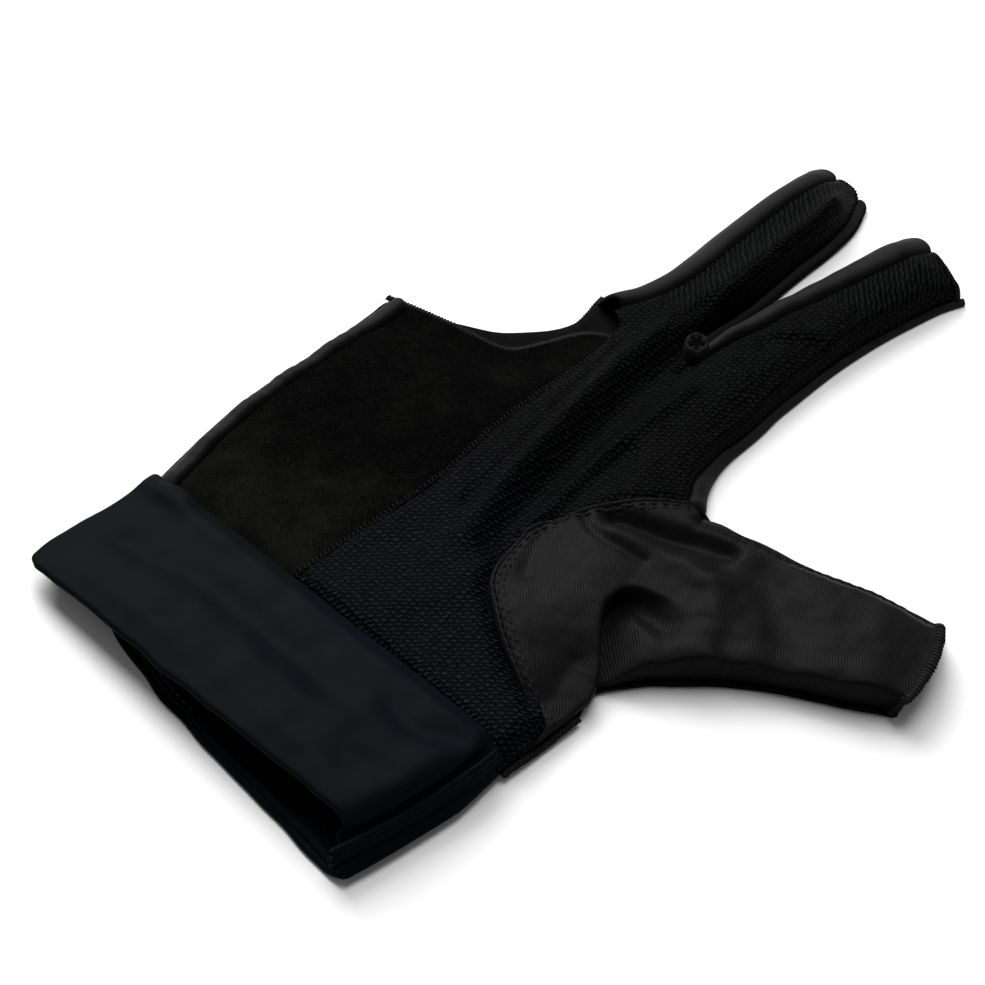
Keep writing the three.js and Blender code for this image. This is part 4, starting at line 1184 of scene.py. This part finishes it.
def add_hem():
    """The turned hem inside the cuff's lower layer, with its two rows of stitches."""
    x = np.arange(-42.0, 51.0, 0.8)
    mouth = np.interp(x, *LOWER_LIP)
    lower = CUFF_RISE * np.interp(x / CUFF_WIDTH, CUFF_ACROSS["across"], CUFF_ACROSS["lower"])
    shape = [
        (0.5, 1.5), (0.4, 2.3), (0.9, 2.75), (2.0, 2.7), (4.0, 2.75), (5.0, 2.7), (5.5, 2.3),
        (5.4, 1.5),
    ]
    rows = []
    for along, height in shape:
        y = mouth + along + 0.15 * np.sin(x / 3.1)
        dip = 0.25 * bell(along - 2.0, 0.5)
        rows.append(np.stack([x, y, lower + height - dip + 0.12 * np.sin(x / 2.3 + along)], 1))
    cut = grid_cut(np.arange(len(rows)) * 1.0, x)
    thickened(grid_piece("cuff_hem_cloth", rows, CUFF_KNIT, "cuff_hem", cut), 0.5)
    for name, along, start, end, finish in (
        ("cuff_hem_stitches", 1.6, -30, 4, PALE_THREAD),
        ("cuff_hem_stitches_back", 4.4, -36, 48, THREAD),
    ):
        keep = (x >= start) & (x <= end)
        line = np.stack([x, mouth + along, lower + 2.75], 1)[keep]
        stitches(name, line, 1.5, 0.8, 0.16, finish, 0.35)


def add_cuff_seam():
    """The seam up the cuff's end: two soft ridges with stitches between them."""
    stations = np.linspace(0, CUFF_STATIONS - 1, 60)
    places = range(CUFF_STATIONS)
    end = np.stack([np.interp(stations, places, column) for column in cuff_right.T], 1)
    shape = [
        (-0.6, 2.4), (0.1, 2.1), (0.5, 1.6), (0.55, 1.1), (0.2, 0.55), (0.15, 0.0), (0.2, -0.55),
        (0.6, -1.1), (0.55, -1.6), (0.1, -2.1), (-0.6, -2.4),
    ]
    rise = 6.3 + 0.25 * np.sin(stations / 4)
    rows = []
    for out, up in shape:
        swell = out + 0.08 * np.sin(stations * 1.3) * (out > 0)
        rows.append(np.stack([end[:, 0] + swell, end[:, 1], rise + up], 1))
    cut = grid_cut([up for _, up in shape], lengths_along(end))[:, ::-1]
    piece = grid_piece("cuff_side_seam_cloth", rows, CUFF_KNIT, "cuff_side_seam", cut, flip=True)
    thickened(piece, 0.5)
    line = np.stack([end[:, 0] + 0.3, end[:, 1], rise], 1)
    stitches("cuff_side_stitches", line, 1.6, 0.9, 0.2, THREAD, 0.0)


# The studio

def add_floor():
    """A matt white board that reaches past the view."""
    reach = 3.0
    corners = [(-reach, -reach, 0), (reach, -reach, 0), (reach, reach, 0), (-reach, reach, 0)]
    mesh = bpy.data.meshes.new("floor")
    mesh.from_pydata(corners, [], [(0, 1, 2, 3)])
    material = bpy.data.materials.new("matt_white_board")
    material.use_nodes = True
    shader = material.node_tree.nodes["Principled BSDF"]
    shader.inputs["Base Color"].default_value = linear("#dcdcdc")
    shader.inputs["Roughness"].default_value = 0.9
    shader.inputs["Specular IOR Level"].default_value = 0.1
    mesh.materials.append(material)
    floor = bpy.data.objects.new("floor", mesh)
    bpy.context.scene.collection.objects.link(floor)


def aimed(name, data, place, aim):
    """A lamp or the camera at a place, turned to look at another."""
    made = bpy.data.objects.new(name, data)
    made.location = place
    made.rotation_euler = (Vector(aim) - Vector(place)).to_track_quat("-Z", "Y").to_euler()
    bpy.context.scene.collection.objects.link(made)
    return made


def add_studio():
    """One large soft light from the little-finger side, a weak one above and a pale room."""
    world = bpy.data.worlds.new("pale_room")
    bpy.context.scene.world = world
    world.use_nodes = True
    back = world.node_tree.nodes["Background"]
    back.inputs["Color"].default_value = linear("#ffffff")
    back.inputs["Strength"].default_value = 0.24
    for name, place, size, power in (
        ("key", (-0.95, 0.4, 0.95), 1.1, 31), ("top", (-0.1, 0.25, 1.2), 0.8, 10),
    ):
        lamp = bpy.data.lights.new(name, "AREA")
        lamp.shape = "DISK"
        lamp.size = size
        lamp.energy = power
        aimed(name, lamp, place, (0, 0, 0))
    bpy.context.scene.view_settings.view_transform = "Standard"


def add_camera():
    """The photograph's view: 46 degrees above the table, from the wrist's thumb side."""
    distance, elevation, azimuth = 600.0, math.radians(46), math.radians(-43.64)
    # The middle of the view is this far from the middle of the cuff's mouth.
    aim = to_frame((-2.55, 89.4, 0))
    level = math.cos(elevation)
    way = np.array([level * math.cos(azimuth), level * math.sin(azimuth), math.sin(elevation)])
    lens = bpy.data.cameras.new("camera")
    lens.sensor_width = 36
    lens.lens = 100.5
    bpy.context.scene.camera = aimed("camera", lens, aim + way * distance * MM, aim)


add_camera()
add_studio()
add_floor()
add_palm()
add_suede()
add_mesh()
add_lap_seam()
add_thumb()
add_gather()
add_strips()
add_hem()
add_cuff_seam()
add_cuff()
